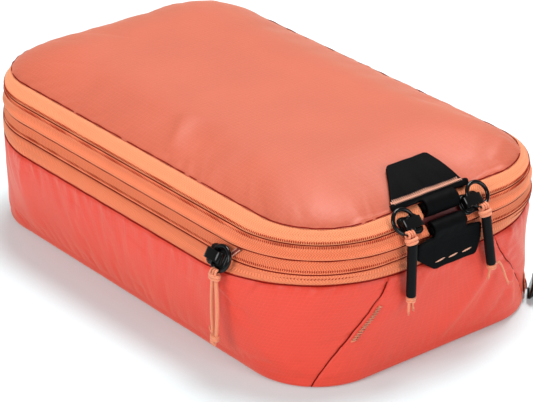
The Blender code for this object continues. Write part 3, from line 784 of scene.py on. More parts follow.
def grid_normals(points, closed):
    """The direction out of a grid at each of its points."""
    if closed:
        along = np.roll(points, -1, 1) - np.roll(points, 1, 1)
    else:
        along = np.gradient(points, axis=1)
    across = np.gradient(points, axis=0)
    normal = np.cross(along, across)
    return normal / np.maximum(np.linalg.norm(normal, axis=2, keepdims=True), 1e-12)


def puckers(run, depth, whole, seed, gap, reach, width, height):
    """Small folds that run away from a seam. run is the place along it and depth the distance from it.

    gap, reach, width and height are the least and the most that each may be, in millimetres.
    """
    gap, reach, width, height = [(low * MM, high * MM) for low, high in (gap, reach, width, height)]
    rng = np.random.default_rng(seed)
    total = np.zeros_like(run)
    place = 0.0
    while place < whole:
        place += rng.uniform(*gap)
        long, wide, high = rng.uniform(*reach), rng.uniform(*width), rng.uniform(*height)
        lean = rng.normal(0, 0.35)
        high *= rng.choice([1.0, -0.8])
        away = run - place - lean * depth
        total += high * np.exp(-((away / wide) ** 2)) * np.exp(-((depth / long) ** 1.6))
    return total


def fold(first, second, start, end, width, height, steep):
    """A ridge, or a valley if height is negative, along a line in a panel's own two directions.

    steep is how many times steeper its far side is than its near side.
    """
    line = np.array(end, float) - np.array(start, float)
    long = float(np.hypot(*line))
    line /= long
    a, b = first - start[0], second - start[1]
    along = (a * line[0] + b * line[1]) / long
    away = a * -line[1] + b * line[0]
    away = np.where(away > 0, away * steep, away)
    window = np.clip(along, 0, 1) * np.clip(1 - along, 0, 1) * 4
    return height * np.exp(-((away / width) ** 2)) * np.sqrt(window)


# --- Walls ---

# The walls' grid before it is made REFINED times as fine, and its rows that are held still
FRONT_COLUMNS = 54
SIDE_COLUMNS = 92
SEAM_COLUMNS = np.cumsum([0, FRONT_COLUMNS, SIDE_COLUMNS, FRONT_COLUMNS])
WALL_ROWS = 21
PINNED_LOW_ROWS = 4
PINNED_HIGH_ROWS = 2
REFINED = 4

WALL_PRESSURE = 1.2
WALL_GROWTH = 0.006
WALL_BENDING = 0.6
COLUMN_WIDTH = 0.66 * MM
WALL_CAP = 2.2 * MM
# The radius of the dark lines of painted shade on the corner seams
CORNER_SHADE_RADIUS = 0.28 * MM

# Folds on the walls, in millimetres: across the panel and up it, from one end to the other, then the width, the
# height and how much steeper the far side is
FRONT_FOLDS = [
    (30, 38, 2, 9, 5.0, 1.6, 1.6),
    (33, 34, 20, 10, 3.0, -0.9, 1.0),
    (44, 34, 47, 8, 3.6, 1.2, 1.5),
    (62, 47, 42, 31, 3.0, 1.1, 1.4),
    (68, 46, 60, 22, 3.0, -0.8, 1.0),
    (-36, 44, -14, 36, 3.2, 0.7, 1.2),
    (-20, 47, 14, 45, 3.0, 0.8, 1.2),
    (-42, 40, -20, 30, 2.4, -0.5, 1.0),
]
LEFT_FOLDS = [
    (-76, 45, -88, 34, 2.0, 0.9, 1.6),
    (-79, 42, -96, 26, 3.2, -0.9, 1.0),
    (-92, 20, -112, 6, 4.0, 0.8, 1.3),
    (-100, 14, -116, 3, 2.6, -0.6, 1.0),
    (-60, 38, -62, 12, 7.0, -0.7, 1.0),
    (-20, 40, -12, 14, 9.0, 0.7, 1.0),
    (30, 42, 36, 12, 8.0, 0.8, 1.0),
    (75, 42, 70, 10, 8.0, 0.7, 1.0),
]


def wall_grid():
    """Points of the four walls as one closed band, with a column on each corner seam."""
    rows = []
    for r in range(WALL_ROWS + 1):
        loop = through(WALL_LOOPS, r / WALL_ROWS)
        seam = seam_station(loop.z)
        edges = [-seam, seam, 6 - seam, 6 + seam, 12 - seam]
        counts = [FRONT_COLUMNS, SIDE_COLUMNS] * 2
        stations = []
        for start, end, count in zip(edges, edges[1:], counts):
            stations += list(even_stations(loop, start, end, count)[:-1])
        rows.append([around(loop, s)[0] for s in stations])
    return np.array(rows)


def band_faces(rows, columns):
    """The faces of a closed band of points."""
    faces = []
    for r in range(rows - 1):
        for c in range(columns):
            n = (c + 1) % columns
            faces.append((r * columns + c, r * columns + n, (r + 1) * columns + n, (r + 1) * columns + c))
    return faces


def make_walls():
    """The four wall panels, with dark lines of painted shade along their corner seams."""
    base = wall_grid()
    rows, columns = base.shape[:2]
    pins = np.zeros((rows, columns))
    pins[:PINNED_LOW_ROWS] = 1.0
    pins[-PINNED_HIGH_ROWS:] = 1.0
    pins[:, SEAM_COLUMNS] = 1.0
    settled = settle(
        base.reshape(-1, 3),
        band_faces(rows, columns),
        pins.ravel(),
        WALL_PRESSURE,
        WALL_GROWTH,
        WALL_BENDING,
        WALL_CAP,
    ).reshape(base.shape)
    flat = refine(refine(base, True), True)
    points = refine(refine(settled, True), True)
    normals = grid_normals(points, True)
    shift = wall_details(flat)
    points = points + normals * shift[..., None]
    points[..., 2] = np.maximum(points[..., 2], 0.05 * MM)
    tuck_in(points, normals)
    starts = SEAM_COLUMNS * REFINED
    ends = [*starts[1:], columns * REFINED]
    names = ["front_end_panel", "right_side_panel", "rear_end_panel", "left_side_panel"]
    for name, start, end in zip(names, starts, ends):
        make_panel(name, points, flat, start, end)
    # A dark line of painted shade at the bottom of each corner seam's groove
    for label, column in zip(("front_left", "front_right", "rear_right", "rear_left"), starts):
        shape = Shape()
        seen = slice(4, -6)
        route = [Vector(p) + Vector(n) * 0.1 * MM for p, n in zip(points[seen, column], normals[seen, column])]
        shape.tube(route, CORNER_SHADE_RADIUS, sides=6)
        shape.made(f"{label}_corner_shade_line", materials["seam"], "base", "red_binding")
    make_bartack()


def make_bartack():
    """The zigzag of thread beside the near diagonal seam, on the front end."""
    tree = BVHTree.FromObject(PIECES["front_end_panel"], bpy.context.evaluated_depsgraph_get())
    shape = Shape()
    path = []
    from_seam, half_width = 3.1 * MM, 1.1 * MM
    for k, height in enumerate(np.linspace(37 * MM, 22.5 * MM, 29)):
        place, out = around(wall_at(height), STATIONS_ROUND - seam_station(height))
        aside = Vector((-out.y, out.x, 0)) * (from_seam + (half_width if k % 2 else -half_width))
        hit = tree.ray_cast(place + aside + out * 12 * MM, -out)[0]
        if hit is not None:
            path.append(hit + out * 0.15 * MM)
    shape.tube(path, 0.48 * MM, sides=6)
    shape.made("front_seam_bartack", materials["peach"], "base", "peach_cord")


def wall_details(flat):
    """How far the folds and puckers stand out from the walls."""
    x, y, z = flat[..., 0], flat[..., 1], flat[..., 2]
    columns = flat.shape[1]
    steps = np.linalg.norm(np.diff(flat[-1], axis=0, append=flat[-1][:1]), axis=1)
    run = np.broadcast_to(np.concatenate([[0], np.cumsum(steps)[:-1]]), x.shape)
    whole = float(steps.sum())
    depth = WALL_TOP_HEIGHT - z
    front_end = (FRONT_COLUMNS + SIDE_COLUMNS) * REFINED
    column = np.broadcast_to(np.arange(columns), x.shape)
    is_front = column <= FRONT_COLUMNS * REFINED
    is_left = column >= (2 * FRONT_COLUMNS + SIDE_COLUMNS) * REFINED
    is_right = (column > FRONT_COLUMNS * REFINED) & (column < front_end)
    is_rear = (column >= front_end) & ~is_left
    shift = puckers(run, depth, whole, 3, (4, 9), (6, 17), (1.4, 2.8), (0.3, 0.75))
    shift += puckers(run, depth, whole, 8, (16, 40), (20, 40), (4, 8), (0.3, 0.9))
    shift += puckers(run, z, whole, 5, (12, 30), (8, 18), (3, 6), (0.1, 0.4))
    for across, folds, here in (
        (x, FRONT_FOLDS, is_front),
        (y, LEFT_FOLDS, is_left),
        (-y, LEFT_FOLDS, is_right),
        (-x, FRONT_FOLDS, is_rear),
    ):
        for a, b, c, d, width, height, steep in folds:
            start, end = (a * MM, b * MM), (c * MM, d * MM)
            shift += fold(across, z, start, end, width * MM, height * MM, steep) * here
    for seam in SEAM_COLUMNS * REFINED:
        away = np.abs((column - seam + columns / 2) % columns - columns / 2) * COLUMN_WIDTH
        shift -= 0.8 * MM * np.exp(-((away / (0.9 * MM)) ** 2))
        ripple = puckers(z, away, WALL_TOP_HEIGHT, 20 + seam, (4, 9), (4, 12), (1, 2), (0.15, 0.45))
        shift += ripple * (away < 30 * MM)
    fade = np.clip(z / (6 * MM), 0, 1) * np.clip(depth / (1.2 * MM), 0.25, 1)
    return shift * fade


def tuck_in(points, normals):
    """The walls' top rows turn in under the zip tape, and their bottom rows lie flat under the rounding."""
    for back, (inward, up) in enumerate(((2.8, 1.0), (2.0, 0.9), (1.1, 0.6), (0.45, 0.25), (0.1, 0.05))):
        row = -1 - back
        points[row] -= normals[row] * inward * MM
        points[row, :, 2] += up * MM


def make_panel(name, points, flat, start, end):
    """One wall panel, from one column of the walls' grid to another."""
    columns = [c % points.shape[1] for c in range(start, end + 1)]
    part, plan = points[:, columns], flat[:, columns]
    along = np.linalg.norm(np.diff(plan[-1], axis=0), axis=1)
    run = np.concatenate([[0], np.cumsum(along)])
    rise = np.concatenate([[0], np.cumsum(np.linalg.norm(np.diff(plan[:, 0], axis=0), axis=1))])
    shape = Shape()
    count = len(rise)
    shape.grid(part, np.tile(run - run[-1] / 2, (count, 1)), np.tile(rise[:, None], (1, len(run))))
    piece = shape.made(f"{name}_cloth", materials["coral"], "base", "coral_nylon", [name], NYLON_THICKNESS)
    PIECES[name] = piece


# --- Lid and flat panels ---


def fill_outline(loop, depth, spacing, rims, rise):
    """Quads that fill a rounded rectangle: straight rows in the middle, and rings that follow the outline.

    rims are extra rings at the edge, each a distance in from the outline and a height. rise gives the height
    at a distance in from the outline.
    """
    core_x, core_y = loop.half_x - depth, loop.half_y - depth
    count_x = max(4, round(2 * core_x / spacing))
    count_y = max(4, round(2 * core_y / spacing))
    turns = [(-1.5, count_x), (1.5, count_y), (4.5, count_x), (7.5, count_y)]
    stations = []
    for start, count in turns:
        stations += list(even_stations(loop, start, start + 3, count)[:-1])
    core = []
    for k in range(count_x):
        core.append((-core_x + 2 * core_x * k / count_x, -core_y))
    for k in range(count_y):
        core.append((core_x, -core_y + 2 * core_y * k / count_y))
    for k in range(count_x):
        core.append((core_x - 2 * core_x * k / count_x, core_y))
    for k in range(count_y):
        core.append((-core_x, core_y - 2 * core_y * k / count_y))
    rings = max(3, round(depth / spacing))
    spaces = [(d, z) for d, z in rims] + [(depth * (k + 0.35) / rings, None) for k in range(rings)] + [(depth, None)]
    points, faces = [], []
    for distance, height in spaces:
        for station, (x, y) in zip(stations, core):
            if height is None:
                edge = around(loop, station)[0]
                share = distance / depth
                place = edge.lerp(Vector((x, y + loop.shift_y, loop.z)), share)
                place.z = loop.z + rise(distance)
            else:
                place = around(inset(loop, distance), station)[0]
                place.z = loop.z + height
            points.append(place)
    count = len(stations)
    for ring in range(len(spaces) - 1):
        for c in range(count):
            n = (c + 1) % count
            low, high = ring * count, (ring + 1) * count
            faces.append((low + c, low + n, high + n, high + c))
    inner = {}
    last = (len(spaces) - 1) * count
    for k in range(count_x):
        inner[(k, 0)] = last + k
        inner[(count_x - k, count_y)] = last + count_x + count_y + k
    for k in range(count_y):
        inner[(count_x, k)] = last + count_x + k
        inner[(0, count_y - k)] = last + 2 * count_x + count_y + k
    for i in range(1, count_x):
        for j in range(1, count_y):
            inner[(i, j)] = len(points)
            x = -core_x + 2 * core_x * i / count_x
            y = -core_y + 2 * core_y * j / count_y
            points.append(Vector((x, y + loop.shift_y, loop.z + rise(depth))))
    for i in range(count_x):
        for j in range(count_y):
            faces.append((inner[(i, j)], inner[(i + 1, j)], inner[(i + 1, j + 1)], inner[(i, j + 1)]))
    return np.array([tuple(p) for p in points]), faces, count * len(rims)


def plan_mesh(name, points, faces, plan, levels):
    """A mesh with its plan as its run map, subdivided smoothly."""
    mesh = bpy.data.meshes.new(name)
    mesh.from_pydata([tuple(p) for p in points], [], faces)
    runs = mesh.uv_layers.new(name="run")
    corners = np.array([v for face in faces for v in face])
    runs.data.foreach_set("uv", np.array(plan, np.float32)[corners, :2].ravel())
    thing = bpy.data.objects.new(name, mesh)
    bpy.context.scene.collection.objects.link(thing)
    smooth = thing.modifiers.new("smooth", "SUBSURF")
    smooth.levels = levels
    graph = bpy.context.evaluated_depsgraph_get()
    fine = bpy.data.meshes.new_from_object(thing.evaluated_get(graph))
    bpy.data.objects.remove(thing)
    bpy.data.meshes.remove(mesh)
    fine.name = name
    return fine


def mesh_arrays(mesh):
    points = np.zeros(len(mesh.vertices) * 3, np.float32)
    normals = np.zeros(len(mesh.vertices) * 3, np.float32)
    mesh.vertices.foreach_get("co", points)
    mesh.vertex_normals.foreach_get("vector", normals)
    return points.reshape(-1, 3).astype(float), normals.reshape(-1, 3).astype(float)


def edge_distance(points, loop):
    """How far inside a rounded rectangle each point is, and how far round it."""
    x = np.abs(points[:, 0])
    y = np.abs(points[:, 1] - loop.shift_y)
    over_x = x - (loop.half_x - loop.corner)
    over_y = y - (loop.half_y - loop.corner)
    outside = np.hypot(np.maximum(over_x, 0), np.maximum(over_y, 0)) + np.minimum(np.maximum(over_x, over_y), 0)
    bearing = np.arctan2(points[:, 1] - loop.shift_y, points[:, 0] * loop.half_y / loop.half_x)
    return loop.corner - outside, (bearing + math.pi) / (2 * math.pi) * length_round(loop)


# The lid's edge, rolled under the tape: millimetres in from its seam, and up from it
LID_RIMS = [(1.2, -0.5), (0.5, -0.8), (-0.25, -0.75), (-0.65, -0.4), (-0.6, 0.05), (-0.2, 0.45), (0.4, 0.9)]
LID_SPACING = 3.2 * MM
LID_PRESSURE = 1.0
LID_GROWTH = 0.004
LID_BENDING = 2.0
LID_CAP = 1.0 * MM
LID_MARGIN = 6 * MM
TAB_DIP = 3.2 * MM

# Soft folds on the lid, in millimetres: from X, Y to X, Y, then as for the walls
LID_FOLDS = [
    (-66, -18, -44, -2, 5.0, 0.9, 2.0),
    (-62, -30, -40, -14, 7.0, -0.6, 1.0),
    (40, -116, 60, -104, 3.0, 0.5, 1.4),
    (30, -112, 56, -92, 5.0, 0.5, 1.2),
    (-50, 80, -20, 96, 14.0, 0.8, 1.0),
]


def lid_rise(distance):
    """How high the lid is above its seam, at a distance in from it."""
    share = min(1.0, max(0.0, distance) / LID_SLOPE_WIDTH)
    return LID_RISE * (1 - (1 - share) ** 2) ** 0.68 + 0.3 * MM


def tab_dip(at):
    """How far the stiff tab holds the lid down at the middle of the front end."""
    inside = at[:, 1] - (LID_SEAM.shift_y - LID_SEAM.half_y)
    ramp = np.clip((inside - 0.3 * MM) / (2.2 * MM), 0, 1) * np.clip((46 * MM - inside) / (30 * MM), 0, 1)
    return TAB_DIP * ramp**2 * (3 - 2 * ramp) * np.exp(-((at[:, 0] / (40 * MM)) ** 4))


def make_lid():
    """The lid's panel, blown up a little by what is inside, and held down by its tab."""
    rims = [(d * MM, z * MM) for d, z in LID_RIMS]
    points, faces, fixed = fill_outline(LID_SEAM, LID_SLOPE_WIDTH, LID_SPACING, rims, lid_rise)
    pins = np.zeros(len(points))
    pins[:fixed] = 1.0
    settled = settle(points, faces, pins, LID_PRESSURE, LID_GROWTH, LID_BENDING, LID_CAP)
    mesh = plan_mesh("lid_panel_cloth", settled, faces, points, 2)
    at, normals = mesh_arrays(mesh)
    depth, run = edge_distance(at, LID_SEAM)
    whole = length_round(LID_SEAM)
    shift = puckers(run, np.abs(depth), whole, 31, (4, 9), (3, 9), (1.2, 2.4), (0.12, 0.4))
    shift += puckers(run, np.abs(depth), whole, 37, (15, 34), (10, 22), (3, 6), (0.15, 0.5))
    for a, b, c, d, width, height, steep in LID_FOLDS:
        start, end = (a * MM, b * MM), (c * MM, d * MM)
        shift += fold(at[:, 0], at[:, 1], start, end, width * MM, height * MM, steep)
    at = at + normals * shift[:, None]
    at[:, 2] -= tab_dip(at)
    mesh.vertices.foreach_set("co", at.astype(np.float32).ravel())
    mesh.update()
    # The lid takes the washed-out copy of the coral, as painted light from above
    piece = finished(mesh, mesh.name, materials["lid"], "lid", ["lid_panel"], NYLON_THICKNESS)
    width, length = 2 * (LID_SEAM.half_x + LID_MARGIN), 2 * (LID_SEAM.half_y + LID_MARGIN)
    PIECES["lid"] = piece


def make_flat_panel(node, loop, bumps):
    """A panel that lies flat, with low soft waves in it."""
    points, faces, _ = fill_outline(loop, 26 * MM, 6 * MM, [], lambda distance: 0.0)
    mesh = plan_mesh(f"{node}_cloth", points, faces, points, 1)
    at = mesh_arrays(mesh)[0]
    waves = np.sin(at[:, 0] / (11 * MM) + 2 * np.sin(at[:, 1] / (31 * MM))) * np.cos(at[:, 1] / (17 * MM))
    depth = edge_distance(at, loop)[0]
    at[:, 2] += bumps * waves * np.clip(depth / (12 * MM), 0, 1)
    mesh.vertices.foreach_set("co", at.astype(np.float32).ravel())
    mesh.update()
    piece = finished(mesh, mesh.name, materials["coral"], "base", [node], NYLON_THICKNESS)


def make_inside():
    """The bottom and the divider, the bound seams and the folded gusset behind the compression zip."""
    make_flat_panel("bottom_panel", inset(WALL_LOOPS[0], -0.5 * MM, 0.55 * MM), 0.12 * MM)
    divider = level(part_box("divider_panel")[1].z, "divider_panel")
    make_flat_panel("divider_panel", inset(divider, 0.2 * MM), 0.5 * MM)
    for corner in ("front_left", "front_right", "rear_left", "rear_right"):
        make_binding(f"{corner}_seam_binding")
    make_gusset()


BINDING_ROWS = 16
BINDING_STITCH = (0.7 * MM, 0.2 * MM, 0.25 * MM)

# A folded tape seen from its end, in millimetres: out from the corner, and along the seam's face
BINDING_PROFILE = [(2.4, -0.2), (0.4, -0.5), (-2.0, -0.62), (-2.6, 0.0), (-2.0, 0.62), (0.4, 0.5), (2.4, 0.2)]


def make_binding(node):
    """A binding tape folded over the seam's raw edges, with its row of stitches."""
    low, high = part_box(node)
    points = node_points(node)
    centre = points.mean(0)
    out = Vector((centre[0], centre[1] * 0.6, 0)).normalized()
    along = UP.cross(out)
    heights = np.linspace(low.z, high.z, BINDING_ROWS)
    near = [points[np.abs(points[:, 2] - z).argsort()[:4]].mean(0) for z in heights]
    slope = np.polyfit(heights, np.array(near), 1)
    shape, stitches = Shape(), Shape()
    rows = []
    for z in heights:
        at = Vector(slope[0] * z + slope[1])
        at.z = z
        rows.append([at + out * a * MM + along * b * MM for a, b in BINDING_PROFILE])
        edge = at - out * 1.3 * MM
        for side in (-1, 1):
            stitches.lump(edge + along * side * 0.5 * MM, UP, out, along * side, BINDING_STITCH)
    count = len(BINDING_PROFILE)
    shape.grid(rows, np.tile(np.arange(count) * 1.5 * MM, (len(rows), 1)), np.tile(heights[:, None], (1, count)))
    piece = shape.made(f"{node}_tape", materials["binding"], "base", "red_binding", [node], 0.25 * MM)
    stitches.made(f"{node}_stitches", materials["stitch"], "base", "red_binding")


GUSSET_PLEATS = 3
GUSSET_DEPTH = 1.3 * MM
GUSSET_SPREAD = 80 * MM


def make_gusset():
    """The pleated fabric that opens out as the collar rises."""
    low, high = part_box("expansion_gusset")
    loop = level(low.z, "expansion_gusset")
    count = int(length_round(loop) / (3 * MM))
    stations = even_stations(loop, 0, STATIONS_ROUND, count)[:-1]
    rows, along, across = [], [], []
    steps = GUSSET_PLEATS * 12
    run = length_round(loop)
    for k in range(steps + 1):
        share = k / steps
        pleat = math.sin(share * GUSSET_PLEATS * 2 * math.pi) * GUSSET_DEPTH
        here = inset(loop, GUSSET_DEPTH + pleat, low.z + (high.z - low.z) * share)
        rows.append([around(here, s)[0] for s in stations])
        along.append([run * c / count for c in range(count)])
        across.append([share * GUSSET_SPREAD] * count)
    shape = Shape()
    shape.grid(rows, along, across, closed=True)
    node, nylon_red = "expansion_gusset", materials["coral"]
    piece = shape.made(f"{node}_cloth", nylon_red, None, "coral_nylon", [node], NYLON_THICKNESS)
    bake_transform(piece)


# --- Zip tapes ---

STITCH_PITCH = 0.98 * MM
STITCH = (0.3 * MM, 0.75 * MM, 0.2 * MM)
STITCH_LIFT = 0.56 * MM
TAPE_SPACING = 1.1 * MM
# The radius of the dark lines of painted shade in the seams and where the tapes meet
SEAM_SHADE_RADIUS = 0.26 * MM

ZIP_BODIES = {"main_zip": ("collar", "lid"), "compression_zip": ("base", "collar")}

# The profiles of the tapes, from the bottom up: the share of the way up the band, and the lift in millimetres
MAIN_LOWER_FACE = [
    (0.05, 0.7), (0.12, 0.6), (0.2, 0.4), (0.35, 0.15), (0.46, 0.1), (0.53, 0.2),
    (0.6, 0.42), (0.7, 0.55), (0.83, 0.55), (0.91, 0.4), (0.955, 0.0), (0.965, -0.9),
]
MAIN_UPPER_FACE = [
    (0.03, -0.9), (0.035, 0.0), (0.07, 0.4), (0.12, 0.55), (0.22, 0.55), (0.3, 0.42), (0.37, 0.25),
    (0.5, 0.4), (0.68, 0.55), (0.84, 0.35), (0.92, -0.2), (0.96, -0.8), (1.0, -1.6),
]
COMPRESSION_LOWER_FACE = [
    (0.0, -1.2), (0.03, -0.3), (0.08, 0.2), (0.2, 0.35), (0.5, 0.4), (0.8, 0.4), (0.91, 0.2), (0.95, -0.2),
    (0.955, -1.0),
]
COMPRESSION_UPPER_FACE = [
    (0.04, -1.0), (0.045, 0.0), (0.1, 0.3), (0.2, 0.42), (0.34, 0.4), (0.45, 0.15), (0.6, 0.05), (0.8, 0.0),
    (1.0, 0.0),
]

# How the main zip's lower tape turns in under the lip: millimetres in from the lip, and down from it
LIP_TURN = [(2.6, 0.9), (1.3, 1.1), (0.2, 1.1), (-0.55, 0.8), (-0.75, 0.1)]


def lifted(loops, share, lift):
    """A loop on a band through some loops, raised away from the band's face."""
    reach = 0.03
    here = through(loops, min(1.0, max(0.0, share)))
    behind = through(loops, max(0.0, share - reach))
    ahead = through(loops, min(1.0, share + reach))
    inward = (behind.half_x + behind.half_y - ahead.half_x - ahead.half_y) / 2
    tilt = math.atan2(inward, ahead.z - behind.z)
    return inset(here, -lift * math.cos(tilt), here.z + lift * math.sin(tilt))


def gap_station(loop, gap):
    """The station where a band starts, if it stops a distance from the middle of the front end."""
    return gap / (loop.half_x - loop.corner)


def band_stations(loop, gap):
    """Stations right round a loop, or if there is a gap from one side of it round to the other."""
    start = gap_station(loop, gap)
    count = int(length_round(loop, start, STATIONS_ROUND - start) / TAPE_SPACING)
    stations = even_stations(loop, start, STATIONS_ROUND - start, count)
    return stations if gap else stations[:-1]


def make_band(node, profile, body, gap, wobble, seed, meet=None, finish="orange"):
    """A tape swept round the bag, whose profile goes up the band as loops.

    Where it stops beside the mouth its corner is rounded off towards meet, the number of the row where the
    zip's two tapes meet.
    """
    closed = gap == 0
    stations = band_stations(profile[-1], gap)
    rng = np.random.default_rng(seed)
    phases = rng.uniform(0, 2 * math.pi, 6)
    turns = rng.integers(9, 60, 6)
    share = np.asarray(stations) / STATIONS_ROUND * 2 * math.pi
    wave = sum(np.sin(share * n + p) for n, p in zip(turns, phases)) / 6 * wobble
    rows = []
    for loop in profile:
        row = []
        spaced = stations
        if meet is not None:
            away = (loop.z - profile[meet].z) / END_ROUNDING
            back = END_ROUNDING * (1 - math.sqrt(max(0.0, 1 - max(0.0, 1 - abs(away)) ** 2)))
            start = gap_station(loop, gap + back)
            spaced = even_stations(loop, start, STATIONS_ROUND - start, len(stations) - 1)
        for station, out in zip(spaced, wave):
            place, outward = around(loop, station)
            row.append(place + (outward + Vector((0, 0, 0.5))) * out)
        rows.append(row)
    points = np.array(rows)
    run = np.concatenate([[0], np.cumsum(np.linalg.norm(np.diff(points[-1], axis=0), axis=1))])
    rise = np.concatenate([[0], np.cumsum(np.linalg.norm(np.diff(points[:, 0], axis=0), axis=1))])
    shape = Shape()
    shape.grid(points, np.tile(run, (len(rows), 1)), np.tile(rise[:, None], (1, len(run))), closed)
    piece = shape.made(f"{node}_twill", materials[finish], body, "orange_tape", [node], TAPE_THICKNESS)


def make_stitch_row(name, body, loops, share, lift, gap):
    """A row of raised stitches along a band through some loops, at a share of the way up it."""
    loop, further_up = lifted(loops, share, lift), lifted(loops, share + 0.05, lift)
    start = gap_station(loop, gap)
    whole = length_round(loop, start, STATIONS_ROUND - start)
    shape = Shape()
    for station in even_stations(loop, start, STATIONS_ROUND - start, int(whole / STITCH_PITCH))[:-1]:
        place, out = around(loop, station)
        along = UP.cross(out)
        up = around(further_up, station)[0] - place
        up = (up - along * up.dot(along)).normalized()
        shape.lump(place, along, up, along.cross(up), STITCH)
    shape.made(name, materials["stitch"], body, "orange_tape")


COIL_WIRE = 0.16 * MM
COIL_RADIUS = 0.42 * MM
COIL_PITCH = 1.5 * MM
COIL_DEPTH = 1.75 * MM
COIL_SHIFT = 1.35 * MM
COIL_STEPS = 6


def coil_path(loop, gap, shift):
    """A helix that follows a loop, behind it, and shift up or down it."""
    start = gap_station(loop, gap)
    turns = int(length_round(loop, start, STATIONS_ROUND - start) / COIL_PITCH)
    path = []
    for k, station in enumerate(even_stations(loop, start, STATIONS_ROUND - start, turns * COIL_STEPS)):
        place, out = around(loop, station)
        angle = 2 * math.pi * k / COIL_STEPS
        normal = (out + Vector((0, 0, 0.8))).normalized()
        up = (UP - normal * normal.z).normalized()
        behind = normal * (COIL_DEPTH - COIL_RADIUS * math.cos(angle))
        path.append(place - behind + up * (shift + COIL_RADIUS * math.sin(angle)))
    return path


def make_coils(zip_name, loop, gap):
    """The two halves of a zip's coil, one on each body that it joins, in a darker orange that is painted shade for the
    gap between the tapes.
    """
    for half, side, body in (("lower", -1, ZIP_BODIES[zip_name][0]), ("upper", 1, ZIP_BODIES[zip_name][1])):
        node = f"{zip_name}_{half}_coil"
        shape = Shape()
        shape.tube(coil_path(loop, gap, side * COIL_SHIFT), COIL_WIRE, sides=4)
        shape.made(f"{node}_wire", materials["coil"], body, "orange_coil", [node])


def make_shade_line(name, loop, body, seed, gap=0.0, wobble=0.12 * MM):
    """A dark line of painted shade in a seam round the bag, a little uneven."""
    rng = np.random.default_rng(seed)
    phases = rng.uniform(0, 2 * math.pi, 5)
    turns = rng.integers(15, 90, 5)
    path = []
    for station in band_stations(loop, gap):
        place, out = around(loop, station)
        turn = station / STATIONS_ROUND * 2 * math.pi
        sway = sum(math.sin(turn * n + p) for n, p in zip(turns, phases)) * wobble / 2
        path.append(place + Vector((0, 0, sway)) + out * sway * 0.5)
    shape = Shape()
    shape.tube(path, SEAM_SHADE_RADIUS, sides=6, closed=gap == 0)
    shape.made(name, materials["seam"], body, "red_binding")


def make_all_shade_lines():
    """The dark lines of painted shade in the seams of the lid, the lip and the walls, and where each zip's tapes meet.
    """
    lid_seam = inset(LID_SEAM, -0.45 * MM, LID_SEAM.z + 0.22 * MM)
    make_shade_line("lid_seam_shade_line", lid_seam, "lid", 2, MOUTH_HALF)
    make_shade_line("lip_shade_line", inset(LIP, -0.1 * MM, LIP.z - 1.35 * MM), "collar", 3)
    make_shade_line("wall_seam_shade_line", inset(WALL_TOP, -0.15 * MM, WALL_TOP.z - 0.45 * MM), "base", 4)
    main_line = lifted([LIP, MAIN_LINE], 1.0, 0.15 * MM)
    make_shade_line("main_zip_shade_line", main_line, "collar", 5, TEETH_HALF, 0)
    compression_line = lifted([WALL_TOP, COMPRESSION], 1.0, 0.1 * MM)
    make_shade_line("compression_zip_shade_line", compression_line, "base", 6, 0, 0)


def profile(loops, face):
    """The loops up a tape's face, from its shares and lifts."""
    return [lifted(loops, share, lift * MM) for share, lift in face]


def make_main_zip():
    """Both tapes of the main zip, with their stitches and the coil behind them."""
    low, high = [LIP, MAIN_LINE], [MAIN_LINE, LID_EDGE, LID_SEAM]
    turn = [inset(LIP, inward * MM, LIP.z - down * MM) for inward, down in LIP_TURN]
    lower = turn + profile(low, MAIN_LOWER_FACE)
    make_band("main_zip_lower_tape", lower, "collar", MOUTH_HALF, 0.25 * MM, 4, meet=-1)
    upper = profile(high, MAIN_UPPER_FACE)
    # The upper tape is given the paler orange as painted light, since it faces up
    make_band("main_zip_upper_tape", upper, "lid", MOUTH_HALF, 0.2 * MM, 6, meet=0, finish="pale")
    make_stitch_row("main_zip_lower_stitches", "collar", low, 0.76, STITCH_LIFT, TEETH_HALF)
    make_stitch_row("main_zip_upper_stitches", "lid", high, 0.17, STITCH_LIFT, TEETH_HALF)
    make_coils("main_zip", MAIN_LINE, TEETH_HALF)


def make_compression_zip():
    """Both tapes of the compression zip, right round the bag, with their stitches and the coil behind them."""
    low, high = [WALL_TOP, COMPRESSION], [COMPRESSION, HIDDEN_EDGE]
    make_band("compression_zip_lower_tape", profile(low, COMPRESSION_LOWER_FACE), "base", 0, 0.3 * MM, 11)
    make_band("compression_zip_upper_tape", profile(high, COMPRESSION_UPPER_FACE), "collar", 0, 0.2 * MM, 12)
    make_stitch_row("compression_zip_upper_stitches", "collar", high, 0.26, 0.42 * MM, 0)
    make_coils("compression_zip", COMPRESSION, 0)


def make_end_cover():
    """The dark strip sewn over the end of the compression zip, with its white stitches."""
    low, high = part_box("compression_zip_end_cover")
    heights = np.linspace(57.0 * MM, high.z, 26)
    stack = [WALL_TOP, COMPRESSION, HIDDEN_EDGE]
    rows = []
    for k, z in enumerate(heights):
        x = -np.interp(z, [s.z for s in stack], [s.half_x for s in stack])
        crown = [0.8 - 0.5 * abs(2 * c / 8 - 1) ** 3 + 0.12 * math.sin(k * 1.1 + c) for c in range(9)]
        middle_y = (-81.2 - 5.2 * k / 25) * MM
        ys = np.linspace(middle_y - 1.5 * MM, middle_y + 1.5 * MM, 9)
        rows.append([Vector((x - crown[c] * MM, y, z)) for c, y in enumerate(ys)])
    shape = Shape()
    shape.grid(rows[::-1], np.tile(ys, (26, 1)), np.tile(heights[::-1, None], (1, 9)))
    piece = shape.made("compression_zip_end_strip", materials["binding"], "collar", "red_binding",
                       ["compression_zip_end_cover"], 0.5 * MM)
    dots = Shape()
    for k in range(2, 25, 2):
        for c in (1, 7):
            dots.lump(rows[k][c] - Vector((0.3 * MM, 0, 0)), Vector((0, 0, 1)), Vector((0, 1, 0)), Vector((-1, 0, 0)),
                      (0.4 * MM, 0.3 * MM, 0.3 * MM))
    dots.made("compression_zip_end_stitches", materials["pink"], "collar", "red_binding")


